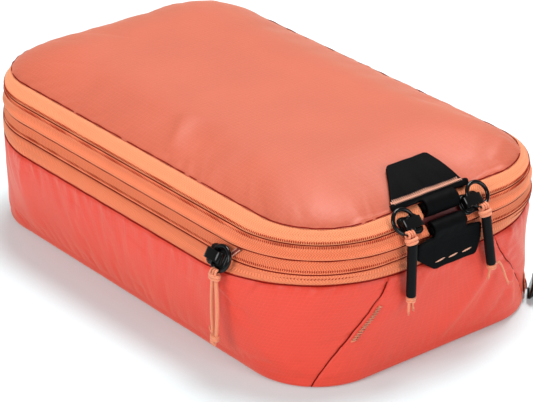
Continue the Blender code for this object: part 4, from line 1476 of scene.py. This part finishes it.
LOW_ZIP_HEIGHT = 6.5 * MM
LOW_ZIP_HALF_LENGTH = 120 * MM
LOW_ZIP_PROUD = 0.9 * MM
LOW_SLIDER_STATION = 1.52
LOW_SLIDER_PROUD = 3.5 * MM


def low_zip_row(height, proud, count=190):
    """Points along the low zip, which runs along the right side and into both its corners."""
    loop = inset(wall_at(height), -proud)
    into = LOW_ZIP_HALF_LENGTH - (loop.half_y - loop.corner)
    reach = into / loop.corner / (math.pi / 2)
    return [around(loop, s)[0] for s in even_stations(loop, 2 - reach, 4 + reach, count)]


def make_low_zip():
    """The flat zip along the foot of the right side: two tapes with a stitched ridge, and the coil between them."""
    for node, side in (("low_zip_lower_tape", -1), ("low_zip_upper_tape", 1)):
        shape, stitches = Shape(), Shape()
        rows = []
        profile = [(5.0, -0.3), (4.9, 0.05), (4.3, 0.15), (2.6, 0.1), (1.7, 0.2), (1.2, 0.4), (0.7, 0.4), (0.45, 0.0)]
        if side > 0:
            profile = profile[::-1]
        for away, lift in profile:
            rows.append(low_zip_row(LOW_ZIP_HEIGHT + side * away * MM, LOW_ZIP_PROUD + lift * MM))
        run = np.concatenate([[0], np.cumsum([(b - a).length for a, b in zip(rows[0], rows[0][1:])])])
        across = [[(5 - side * a) * MM] * len(run) for a, _ in profile]
        shape.grid(rows, np.tile(run, (len(rows), 1)), across)
        piece = shape.made(f"{node}_twill", materials["orange"], "base", "orange_tape", [node], 0.4 * MM)
        line = low_zip_row(LOW_ZIP_HEIGHT + side * 2.4 * MM, LOW_ZIP_PROUD + 0.12 * MM)
        for c in range(1, len(line) - 1):
            along = (line[c + 1] - line[c - 1]).normalized()
            stitches.lump(line[c], along, Vector((0, 0, 1)), along.cross(Vector((0, 0, 1))), STITCH)
        stitches.made(f"{node}_stitches", materials["stitch"], "base", "orange_tape")
    # The low zip's coil takes the same darker orange that paints shade
    coil = Shape()
    line = low_zip_row(LOW_ZIP_HEIGHT, LOW_ZIP_PROUD + 0.5 * MM, 1100)
    path = []
    for k, point in enumerate(line[:-1]):
        out = (line[k + 1] - point).normalized().cross(Vector((0, 0, 1)))
        angle = k * math.pi / 3
        path.append(point + out * 0.55 * MM * math.cos(angle) + Vector((0, 0, 0.75 * MM * math.sin(angle))))
    coil.tube(path, 0.2 * MM, sides=5)
    coil.made("low_zip_coil_wire", materials["coil"], "base", "orange_coil", ["low_zip_coil"])


# --- Black tabs ---

TAB_THICKNESS = 1.0 * MM
STRAP_HALF = 9.0 * MM
UPPER_ROLL_PLACE = Vector((0, -124.2 * MM, 74.4 * MM))
LOWER_ROLL_PLACE = Vector((0, -130.2 * MM, 65.8 * MM))


def rounding(distance, radius):
    """How far a rounded corner has cut in, at a distance from the straight edge."""
    near = min(max(distance, 0.0), radius)
    return radius - math.sqrt(radius**2 - (radius - near) ** 2)


def tab_grid(name, path, width_at, body, replaces, shift_at):
    """A strip of coated fabric along a path of (point, normal), whose half width follows a function. shift_at
    gives how far its middle is to one side."""
    run = 0.0
    rows, along, across = [], [], []
    columns = 41
    for k, (point, normal) in enumerate(path):
        if k:
            run += (point - path[k - 1][0]).length
        half = width_at(run)
        middle_x = shift_at(run)
        row = []
        for c in range(columns):
            share = 2 * c / (columns - 1) - 1
            edge = max(0.0, half * (abs(share) - 1) + 0.7 * MM)
            dent = 0.05 * MM * math.sin(share * 9 + run / (3.1 * MM)) - 0.35 * edge
            row.append(point + Vector((middle_x + share * half, 0, 0)) + normal * dent)
        rows.append(row)
        along.append([half * (2 * c / (columns - 1) - 1) for c in range(columns)])
        across.append([run] * columns)
    shape = Shape()
    shape.grid(rows, along, across)
    piece = shape.made(name, materials["black"], body, "black_tab", replaces, TAB_THICKNESS)
    width = 2 * max(width_at(r) for r in np.linspace(0, run, 60))
    return piece


def resample(points, spacing):
    """Points a spacing apart along a route."""
    points = np.array([tuple(p) for p in points])
    run = np.concatenate([[0], np.cumsum(np.linalg.norm(np.diff(points, axis=0), axis=1))])
    places = np.linspace(0, run[-1], int(run[-1] / spacing) + 1)
    return [Vector([np.interp(s, run, points[:, axis]) for axis in range(3)]) for s in places]


def with_normals(points, outward=1):
    """Each point of a route in the YZ plane with the normal on its left, or on its right if outward is -1."""
    made = []
    for k, point in enumerate(points):
        ahead = points[min(k + 1, len(points) - 1)] - points[max(k - 1, 0)]
        ahead.normalize()
        made.append((point, Vector((0, -ahead.z, ahead.y)) * outward))
    return made


def arc(centre, radius, start, end, steps=24):
    """Points round a centre in the YZ plane, by degrees from -Y towards +Z."""
    made = []
    for k in range(steps + 1):
        angle = math.radians(start + (end - start) * k / steps)
        made.append(centre + Vector((0, -math.cos(angle), math.sin(angle))) * radius)
    return made


def lid_height(tree, x, y):
    hit = tree.ray_cast(Vector((x, y, 0.2)), Vector((0, 0, -1)))[0]
    return hit.z


def make_upper_tab():
    """The tab on the lid: a trapezium, and a strap from it that rolls over the mouth of the zip."""
    graph = bpy.context.evaluated_depsgraph_get()
    lid = PIECES["lid"]
    tree = BVHTree.FromObject(lid, graph)
    front = LID_SEAM.shift_y - LID_SEAM.half_y
    back = front + 22 * MM
    base = front - 1.1 * MM
    fall = (LID_SEAM.z - LID_EDGE.z) / (LID_EDGE.half_y - LID_SEAM.half_y)
    route = []
    for y in np.linspace(back, base, 30):
        if y > front + 0.8 * MM:
            height = max(lid_height(tree, x * MM, y) for x in (-9, -4, 0, 4, 9))
        else:
            height = LID_SEAM.z - (front - y) * fall + 0.5 * MM
        route.append(Vector((0, y, height + TAB_THICKNESS + 0.2 * MM)))
    flat_length = sum((b - a).length for a, b in zip(route, route[1:]))
    route += arc(UPPER_ROLL_PLACE, 3.5 * MM, 104, -70)
    path = with_normals(resample(route, 0.3 * MM), -1)

    def width_at(run):
        if run <= flat_length:
            taper = 11.7 * MM + (23.2 - 11.7) * MM * run / flat_length
            return taper - rounding(run, 1.8 * MM) - rounding(flat_length - run, 2.6 * MM)
        return STRAP_HALF + rounding(run - flat_length, 2.4 * MM)

    def shift_at(run):
        if run <= flat_length:
            return 2.8 * MM + (-3.0 - 2.8) * MM * run / flat_length
        return -3.0 * MM * max(0.0, 1 - (run - flat_length) / (0.7 * MM))

    piece = tab_grid("upper_tab_fabric", path, width_at, "lid", ["upper_tab"], shift_at)
    drape_tab(piece, tree, back, front + 0.8 * MM)
    piece.data.update()
    bpy.context.view_layer.update()
    surface = BVHTree.FromObject(piece, bpy.context.evaluated_depsgraph_get())
    make_roll("upper_tab_rolled_end", UPPER_ROLL_PLACE, 2.4 * MM, "lid", "upper_tab_roll")
    zigzag = Shape()
    points = []
    start, end, step = -23.0 * MM, 17.0 * MM, 0.095 * MM
    for k in range(int((end - start) / step)):
        sway = abs((k / 6) % 2 - 1)
        x, y = start + k * step, base + (0.9 + 4.4 * sway) * MM
        hit = surface.ray_cast(Vector((x, y, 0.2)), Vector((0, 0, -1)))[0]
        if hit is not None:
            points.append(hit + Vector((0, 0, 0.25 * MM)))
    zigzag.tube(points, 0.19 * MM, sides=6)
    thread_piece = zigzag.made("upper_tab_zigzag", materials["pink"], "lid", "orange_tape")
    return thread_piece


def drape_tab(piece, tree, back, base):
    """Lets the tab's sides follow the lid that they lie on."""
    for vertex in piece.data.vertices:
        x, y, z = vertex.co
        if y < base - 0.2 * MM:
            continue
        floor = lid_height(tree, x, min(y, back)) + TAB_THICKNESS + 0.2 * MM
        reach = min(1.0, max(0.0, (y - base) / (3 * MM)))
        vertex.co.z = z + (floor - z) * reach


def make_roll(name, centre, radius, body, node):
    """A rolled end: a spiral of fabric, a little uneven."""
    rows, along, across = [], [], []
    half = 9.4 * MM
    turns = 2.3
    steps = 70
    columns = 24
    for k in range(steps + 1):
        share = k / steps
        angle = share * turns * 2 * math.pi
        reach = 0.35 * MM + (radius - 0.35 * MM) * share
        row = []
        for c in range(columns + 1):
            x = half * (2 * c / columns - 1)
            dent = 0.12 * MM * math.sin(x / (2.3 * MM) + angle)
            side = Vector((0, -math.cos(angle), math.sin(angle)))
            row.append(centre + Vector((x, 0, 0)) + side * (reach + dent * share))
        rows.append(row)
        along.append([half * (2 * c / columns - 1) for c in range(columns + 1)])
        across.append([share * 18 * MM] * (columns + 1))
    shape = Shape()
    shape.grid(rows, along, across)
    piece = shape.made(name, materials["black"], body, "black_tab", [node], 0.45 * MM)
    return piece


def make_lower_tab():
    """The tab on the collar, which rolls out over the mouth."""
    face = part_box("lower_tab")[0].y
    foot, shoulder, top = 48.0 * MM, 55.5 * MM, 62.8 * MM
    route = arc(LOWER_ROLL_PLACE, 3.0 * MM, 128, 20, 20)
    for proud, z in ((0.5 * MM, 63.4 * MM), (0.15 * MM, 60 * MM), (0.0, foot)):
        route.append(Vector((0, face - proud, z)))
    points = resample(route, 0.3 * MM)
    path = with_normals(points, -1)
    run_of = np.concatenate([[0], np.cumsum([(b - a).length for a, b in zip(points, points[1:])])])
    heights = np.array([p.z for p in points])

    def width_at(run):
        z = float(np.interp(run, run_of, heights))
        if z > top or run < run_of[len(points) // 3]:
            return STRAP_HALF + rounding(max(0.0, z - top), 2.2 * MM)
        if z > shoulder:
            return 18.5 * MM - rounding(top - z, 2.0 * MM)
        low = 12 * MM + 6.5 * MM * (z - foot) / (shoulder - foot)
        return low - rounding(z - foot, 1.2 * MM)

    def shift_at(run):
        z = float(np.interp(run, run_of, heights))
        low = min(1.0, max(0.0, (shoulder - z) / (shoulder - foot)))
        return 4.2 * MM * low if run > run_of[len(points) // 3] else 0.0

    tab_grid("lower_tab_fabric", path, width_at, "collar", ["lower_tab"], shift_at)
    make_roll("lower_tab_rolled_end", LOWER_ROLL_PLACE, 2.2 * MM, "collar", "lower_tab_roll")
    dashes = Shape()
    for x in (-5.4, 2.6, 10.6):
        ends = []
        for side in (-1, -0.4, 0.4, 1):
            ends.append(Vector(((x + side * 2.9) * MM, face - 0.75 * MM, (51.4 + side * 0.35) * MM)))
        dashes.tube(ends, 0.5 * MM, sides=8, tip=0.3 * MM)
    dashes.made("lower_tab_stitches", materials["pink"], "collar", "orange_tape")


def make_mouth_shade_sheet():
    """A dark sheet inside the mouth of the main zip, as painted shade in the opening."""
    rows = []
    for z, y in ((64.2, -128.0), (67.0, -126.6), (70.0, -125.6), (73.0, -123.6), (75.2, -122.2)):
        rows.append([Vector((x * MM, (y + 0.5 * math.cos(x / 4)) * MM, z * MM)) for x in np.linspace(-17, 17, 18)])
    shape = Shape()
    shape.grid(rows, np.tile(np.linspace(0, 0.034, 18), (5, 1)), np.tile(np.linspace(0, 0.012, 5)[:, None], (1, 18)))
    piece = shape.made("mouth_painted_shade_sheet", materials["inner_shade"], "collar", "red_binding", thickness=0.3 * MM)


# --- Sliders and pulls ---


def node_points(node):
    """The corners of a CAD node, as an array."""
    return np.array([v.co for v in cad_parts[node].data.vertices], float)


def main_axes(node):
    """The middle of a CAD node and its three axes, the longest first."""
    points = node_points(node)
    centre = (points.max(0) + points.min(0)) / 2
    _, _, axes = np.linalg.svd(points - points.mean(0), full_matrices=False)
    return Vector(centre), [Vector(a) for a in axes]


def zip_frame(point, along, normal):
    up = normal.cross(along)
    return Matrix.Translation(point) @ Matrix([along, up, normal]).transposed().to_4x4()


def plate_outline(half_length, half_width, waist):
    """The outline of a slider's plate: two lobes that flare from a waist."""
    points = []
    for k in range(48):
        angle = 2 * math.pi * k / 48
        c, s = math.cos(angle), math.sin(angle)
        x = half_length * math.copysign(abs(c) ** 0.6, c)
        pinch = 1 - waist * math.exp(-((x / (half_length * 0.35)) ** 2))
        points.append((x, half_width * math.copysign(abs(s) ** 0.55, s) * pinch))
    return points


def arch(place, half_length, height, half_width, thick, base):
    """The bail of a slider: a flat bar bent over the plate."""
    shape = []
    for k in range(21):
        angle = math.pi * k / 20
        c, s = math.cos(angle), math.sin(angle)
        shape.append((half_length * math.copysign(abs(c) ** 0.5, c), height * s**0.55))
    outer = shape
    inner = [(x * (1 - thick / half_length), max(0.0, z - thick) if 0 < k < 20 else 0.0) for k, (x, z) in enumerate(shape)]
    part = bmesh.new()
    rings = []
    for (a, b), (c, d) in zip(outer, inner):
        ring = [
            part.verts.new((a, -half_width, base + b)),
            part.verts.new((a, half_width, base + b)),
            part.verts.new((c, half_width, base + d)),
            part.verts.new((c, -half_width, base + d)),
        ]
        rings.append(ring)
    for first, second in zip(rings, rings[1:]):
        for k in range(4):
            n = (k + 1) % 4
            part.faces.new((first[k], second[k], second[n], first[n]))
    part.faces.new(rings[0])
    part.faces.new(rings[-1][::-1])
    bmesh.ops.recalc_face_normals(part, faces=part.faces[:])
    long = [e for e in part.edges if abs(e.verts[0].co.y - e.verts[1].co.y) < 1e-7]
    bmesh.ops.bevel(
        part, geom=long, offset=0.28 * MM, segments=2, profile=0.6, affect="EDGES", clamp_overlap=True
    )
    bmesh.ops.transform(part, matrix=place, verts=part.verts)
    return part


def make_slider(name, place, lift, body, inner):
    """A slider: a waisted plate with flared lips, a bail over it and, behind the tape, its inner plate."""
    deck = lift + 1.0 * MM
    outline = plate_outline(6.2 * MM, 5.1 * MM, 0.16)
    low_outline = plate_outline(5.3 * MM, 3.4 * MM, 0.16)
    parts_made = [
        rounded_plate(place, outline, lift, deck, 0.4 * MM),
        rounded_plate(place, [(x * 0.86, y * 0.84) for x, y in outline], deck - 0.1 * MM, deck + 0.6 * MM, 0.3 * MM),
        arch(place, 5.1 * MM, 4.1 * MM, 2.5 * MM, 1.2 * MM, deck),
    ]
    for side in (-1, 1):
        corner_low = (-4.8 * MM, side * 3.9 * MM - 0.5 * MM, lift - 0.5 * MM)
        corner_high = (4.8 * MM, side * 3.9 * MM + 0.5 * MM, lift + 0.5 * MM)
        parts_made.append(rounded_box(place, corner_low, corner_high, 0.2 * MM))
        nose = (side * 4.0 * MM, 0, 0)
        spot = place @ Matrix.Translation(nose)
        parts_made.append(rounded_box(spot, (-0.8 * MM, -1.6 * MM, deck), (0.8 * MM, 1.6 * MM, deck + 1.2 * MM), 0.4 * MM))
    if inner:
        back = -2.9 * MM
        parts_made.append(rounded_plate(place, low_outline, back - 0.9 * MM, back, 0.3 * MM))
        parts_made.append(
            rounded_box(place, (-2.6 * MM, -0.25 * MM, back - 0.1 * MM), (2.6 * MM, 0.25 * MM, lift + 0.1 * MM), 0.1 * MM)
        )
    return solid(f"{name}_casting", parts_made, materials["hardware"], body, [name])


def make_ring(node, body):
    """The wire ring that a pull hangs from."""
    centre, axes = main_axes(node)
    points = node_points(node)
    reach = np.linalg.norm(points - np.array(centre), axis=1)
    wire = 0.95 * MM
    radius = (reach.max() + reach.min()) / 2
    shape = Shape()
    path = []
    for k in range(64):
        angle = 2 * math.pi * k / 64
        path.append(centre + (axes[0] * math.cos(angle) + axes[1] * math.sin(angle)) * radius)
    shape.tube(path, wire, sides=12, closed=True)
    shape.made(f"{node}_wire", materials["hardware"], body, "black_hardware", [node])
    return centre, radius


def make_hitch(node, body, tube_top, wide):
    """Wraps of cord round the ring's foot, then a flattened collar where the cord goes into the tube."""
    points = node_points(node)
    top = Vector(points[points[:, 2].argsort()[-8:]].mean(0))
    down = (tube_top - top).normalized()
    across = Vector((1, 0, 0)) if wide == "x" else Vector((0, 1, 0))
    across = (across - down * across.dot(down)).normalized()
    depth = down.cross(across)
    shape = Shape()
    for k, slide in enumerate((-1.5, 0.0, 1.5)):
        loop = []
        for s in range(20):
            angle = 2 * math.pi * s / 20
            loop.append(
                top + across * slide * MM + down * (0.1 + 1.35 * math.cos(angle)) * MM
                + depth * 1.15 * MM * math.sin(angle) + across * 0.25 * MM * math.sin(angle + k)
            )
        shape.tube(loop, 0.58 * MM, sides=9, closed=True)
    gap = (tube_top - top).length
    for k in range(2):
        level_down = gap - (1.7 - 1.35 * k) * MM
        loop = []
        for s in range(28):
            angle = 2 * math.pi * s / 28
            loop.append(
                top + down * (level_down + 0.2 * MM * math.sin(angle)) + across * (2.6 - 0.3 * k) * MM * math.cos(angle)
                + depth * 1.6 * MM * math.sin(angle)
            )
        shape.tube(loop, 0.8 * MM, sides=10, closed=True)
    for side in (-1, 1):
        strand = [
            top + across * side * 0.8 * MM + down * 0.8 * MM,
            top + across * side * 1.1 * MM + down * gap * 0.5,
            top + across * side * 1.0 * MM + down * (gap + 1.0 * MM),
        ]
        shape.tube(strand, 0.75 * MM, sides=8)
    shape.made(f"{node}_cord", materials["peach"], body, "peach_cord", [node])


def tube_ends(node):
    """The top and the foot of a long CAD node, and the way from one to the other."""
    centre, axes = main_axes(node)
    points = node_points(node)
    axis = axes[0] if axes[0].z < 0 else -axes[0]
    reach = (points - np.array(centre)) @ np.array(axis)
    return centre + axis * reach.min(), centre + axis * reach.max(), axis


def make_tube(node, body):
    """The rubber sleeve of a pull."""
    top, foot, axis = tube_ends(node)
    length = (foot - top).length
    shape = Shape()
    path, radii = [], []
    for share, radius in ((0, 1.5), (0.004, 1.95), (0.015, 2.15), (0.04, 2.2), (0.25, 2.22), (0.5, 2.2), (0.75, 2.22),
                          (0.96, 2.2), (0.985, 2.15), (0.996, 1.95), (1, 1.5)):
        path.append(top + axis * length * share)
        radii.append(radius * MM)
    shape.tube(path, radii, sides=28)
    shape.made(f"{node}_sleeve", materials["rubber"], body, "black_rubber", [node])
    return top, foot, axis


def frayed(shape, route, radius, seed):
    """A cord end: a strand with beads of yarn, and a tuft."""
    rng = np.random.default_rng(seed)
    points = resample(route, 0.25 * MM)
    radii = [radius * (1 + 0.14 * math.sin(k * 0.25 * MM / (1.1 * MM) * 2 * math.pi)) for k in range(len(points))]
    shape.tube(points, radii, sides=10, tip=radius * 0.5)
    down = (points[-1] - points[-3]).normalized()
    for _ in range(9):
        way = (down + Vector(rng.normal(0, 0.35, 3))).normalized()
        start = points[-1] - down * 0.4 * MM
        bend = start + way * 0.8 * MM
        end = bend + (way + down).normalized() * rng.uniform(0.3, 1.0) * MM
        shape.tube([start, bend, end], 0.11 * MM, sides=4)


def make_tail(node, body, foot, axis, routes, seed):
    """The doubled band of cord at a tube's foot, and its two short ends."""
    shape = Shape()
    across = Vector((1, 0, 0))
    across = (across - axis * across.dot(axis)).normalized()
    depth = axis.cross(across)
    for k in range(2):
        loop = []
        for s in range(26):
            angle = 2 * math.pi * s / 26
            loop.append(
                foot + axis * ((0.75 + 1.2 * k) * MM + 0.15 * MM * math.sin(2 * angle))
                + across * (1.75 - 0.25 * k) * MM * math.cos(angle) + depth * 1.5 * MM * math.sin(angle)
            )
        shape.tube(loop, 0.7 * MM, sides=9, closed=True)
    shape.tube([foot - axis * 0.8 * MM, foot + axis * 1.0 * MM, foot + axis * 2.2 * MM], 1.3 * MM, sides=10)
    for k, route in enumerate(routes):
        path = [foot + across * a * MM + axis * b * MM + depth * c * MM for a, b, c in route]
        frayed(shape, path, 0.62 * MM, seed + k)
    shape.made(f"{node}_cord_ends", materials["peach"], body, "peach_cord", [node])


def make_thread():
    """The loose core of the right pull's cord, out beside its tail and down to one side."""
    points = node_points("right_pull_thread")
    start = points[points[:, 2] > points[:, 2].max() - 1.2 * MM].mean(0)
    route = [(0, 0), (1.6, 0.2), (3.3, -2.2), (5.0, -5.8), (6.4, -9.4), (8.0, -12.6)]
    path = [Vector(start) + Vector((x * MM, 0, (z - 0.2) * MM)) for x, z in route]
    shape = Shape()
    frayed(shape, path, 0.5 * MM, 77)
    lead = [path[0] + Vector((-2.0 * MM, 0, -0.4 * MM)), path[0] + Vector((-1.0 * MM, 0, 0.1 * MM)), path[0]]
    shape.tube(lead, 0.45 * MM, sides=8)
    shape.made("right_pull_loose_core", materials["peach"], "right_pull", "peach_cord", ["right_pull_thread"])


def make_pulls():
    """The sliders, their rings and the pulls that hang from them."""
    front = MAIN_LINE.shift_y - MAIN_LINE.half_y
    tilt = math.radians(45)
    normal = Vector((0, -math.cos(tilt), math.sin(tilt)))
    tails = {
        "left": [[(-0.9, 1.6, 0), (-1.3, 3.5, 0.2), (-1.2, 5.5, 0), (-1.5, 7.4, 0.2)],
                 [(0.8, 1.6, 0), (1.1, 3.2, -0.2), (0.9, 5.0, 0), (1.3, 6.6, 0.2)]],
        "right": [[(-0.9, 1.6, 0), (-1.6, 3.0, 0.2), (-2.2, 4.8, 0), (-2.4, 6.2, 0)]],
    }
    for side, x in (("left", -19.5 * MM), ("right", 15.8 * MM)):
        place = zip_frame(Vector((x, front, MAIN_LINE.z)), Vector((1, 0, 0)), normal)
        make_slider(f"{side}_main_slider", place, 0.3 * MM, f"{side}_main_slider", True)
        make_ring(f"{side}_pull_ring", f"{side}_pull_ring")
        top, foot, axis = make_tube(f"{side}_pull_tube", f"{side}_pull")
        make_hitch(f"{side}_pull_hitch", f"{side}_pull", top, "x")
        make_tail(f"{side}_pull_tail", f"{side}_pull", foot, axis, tails[side], 50 if side == "left" else 60)
    make_thread()
    tilt = math.radians(31.6)
    normal = Vector((-math.cos(tilt), 0, math.sin(tilt)))
    place = zip_frame(Vector((-82.9 * MM, -76.5 * MM, 55.6 * MM)), Vector((0, -1, 0)), normal)
    make_slider("compression_slider", place, 0.85 * MM, "compression_slider", True)
    make_ring("compression_pull_ring", "compression_pull_ring")
    strands_top = Vector((STRAND_X, middle("compression_pull_knot").y, STRAND_TOP_Z + 0.6 * MM))
    make_hitch("compression_pull_hitch", "compression_pull", strands_top, "y")
    point, out = around(inset(FOOT, -LOW_SLIDER_PROUD), LOW_SLIDER_STATION)
    flare = (KNEE.half_x - FOOT.half_x) / (KNEE.z - FOOT.z)
    place = zip_frame(point, Vector((0, 0, 1)).cross(out), (out - Vector((0, 0, flare))).normalized())
    make_slider("low_zip_slider", place, 0.3 * MM, "low_zip_slider", False)
    make_ring("low_zip_pull_ring", "low_zip_pull_ring")


def make_hinge_strip():
    """The strip of cloth at the rear that the lid hinges on."""
    low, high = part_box("lid_hinge_strip")
    rows, stations = [], np.linspace(5.12, 6.88, 60)
    spans = [LIP, COLLAR_EDGE]
    for share in np.linspace(0.12, 0.6, 8):
        loop = lifted(spans, share, 0.75 * MM)
        rows.append([around(loop, s)[0] for s in stations])
    shape = Shape()
    count = len(stations)
    run = np.linspace(0, (high.x - low.x), count)
    shape.grid(rows, np.tile(run, (8, 1)), np.tile(np.linspace(0, 5 * MM, 8)[:, None], (1, count)))
    piece = shape.made("lid_hinge_cloth", materials["coral"], "collar", "coral_nylon", ["lid_hinge_strip"],
                       NYLON_THICKNESS)


# --- Floor and light ---


def make_stage():
    """The pale floor."""
    mesh = bpy.data.meshes.new("floor")
    half = 6.0
    mesh.from_pydata([(-half, -half, 0), (half, -half, 0), (half, half, 0), (-half, half, 0)], [], [(0, 1, 2, 3)])
    floor = bpy.data.objects.new("floor", mesh)
    bpy.context.scene.collection.objects.link(floor)
    paper = Finish("pale_floor", Roughness=0.95, Emission_Color=(1, 1, 1, 1), Emission_Strength=0.14)
    paper.shader.inputs["Base Color"].default_value = (0.62, 0.74, 0.76, 1)
    mesh.materials.append(paper.material)


def add_light(name, size, energy, place, target):
    data = bpy.data.lights.new(name, "AREA")
    data.shape = "DISK"
    data.size = size
    data.energy = energy
    light = bpy.data.objects.new(name, data)
    light.location = place
    light.rotation_euler = (Vector(target) - Vector(place)).to_track_quat("-Z", "Y").to_euler()
    bpy.context.scene.collection.objects.link(light)


def make_lights():
    """An even white studio and three soft lights."""
    world = bpy.data.worlds.new("studio")
    world.use_nodes = True
    background = world.node_tree.nodes["Background"]
    background.inputs[0].default_value = (1, 1, 1, 1)
    background.inputs[1].default_value = 0.36
    bpy.context.scene.world = world
    add_light("overhead_softbox", 0.8, 23, (0.4, 0.15, 1.4), (0, 0, 0))
    add_light("left_softbox", 0.7, 10.5, (-1.3, -0.2, 0.7), (0, 0, 0.04))
    add_light("front_fill", 0.7, 7.5, (0.2, -1.5, 0.5), (0, 0, 0.04))
    bpy.context.scene.view_settings.view_transform = "Standard"


# --- Everything ---

materials = make_materials()
make_camera()
make_compression_cords()
make_walls()
make_lid()
make_inside()
make_main_zip()
make_compression_zip()
make_all_shade_lines()
make_hinge_strip()
make_end_cover()
make_low_zip()
make_upper_tab()
make_lower_tab()
make_mouth_shade_sheet()
make_pulls()
make_stage()
make_lights()
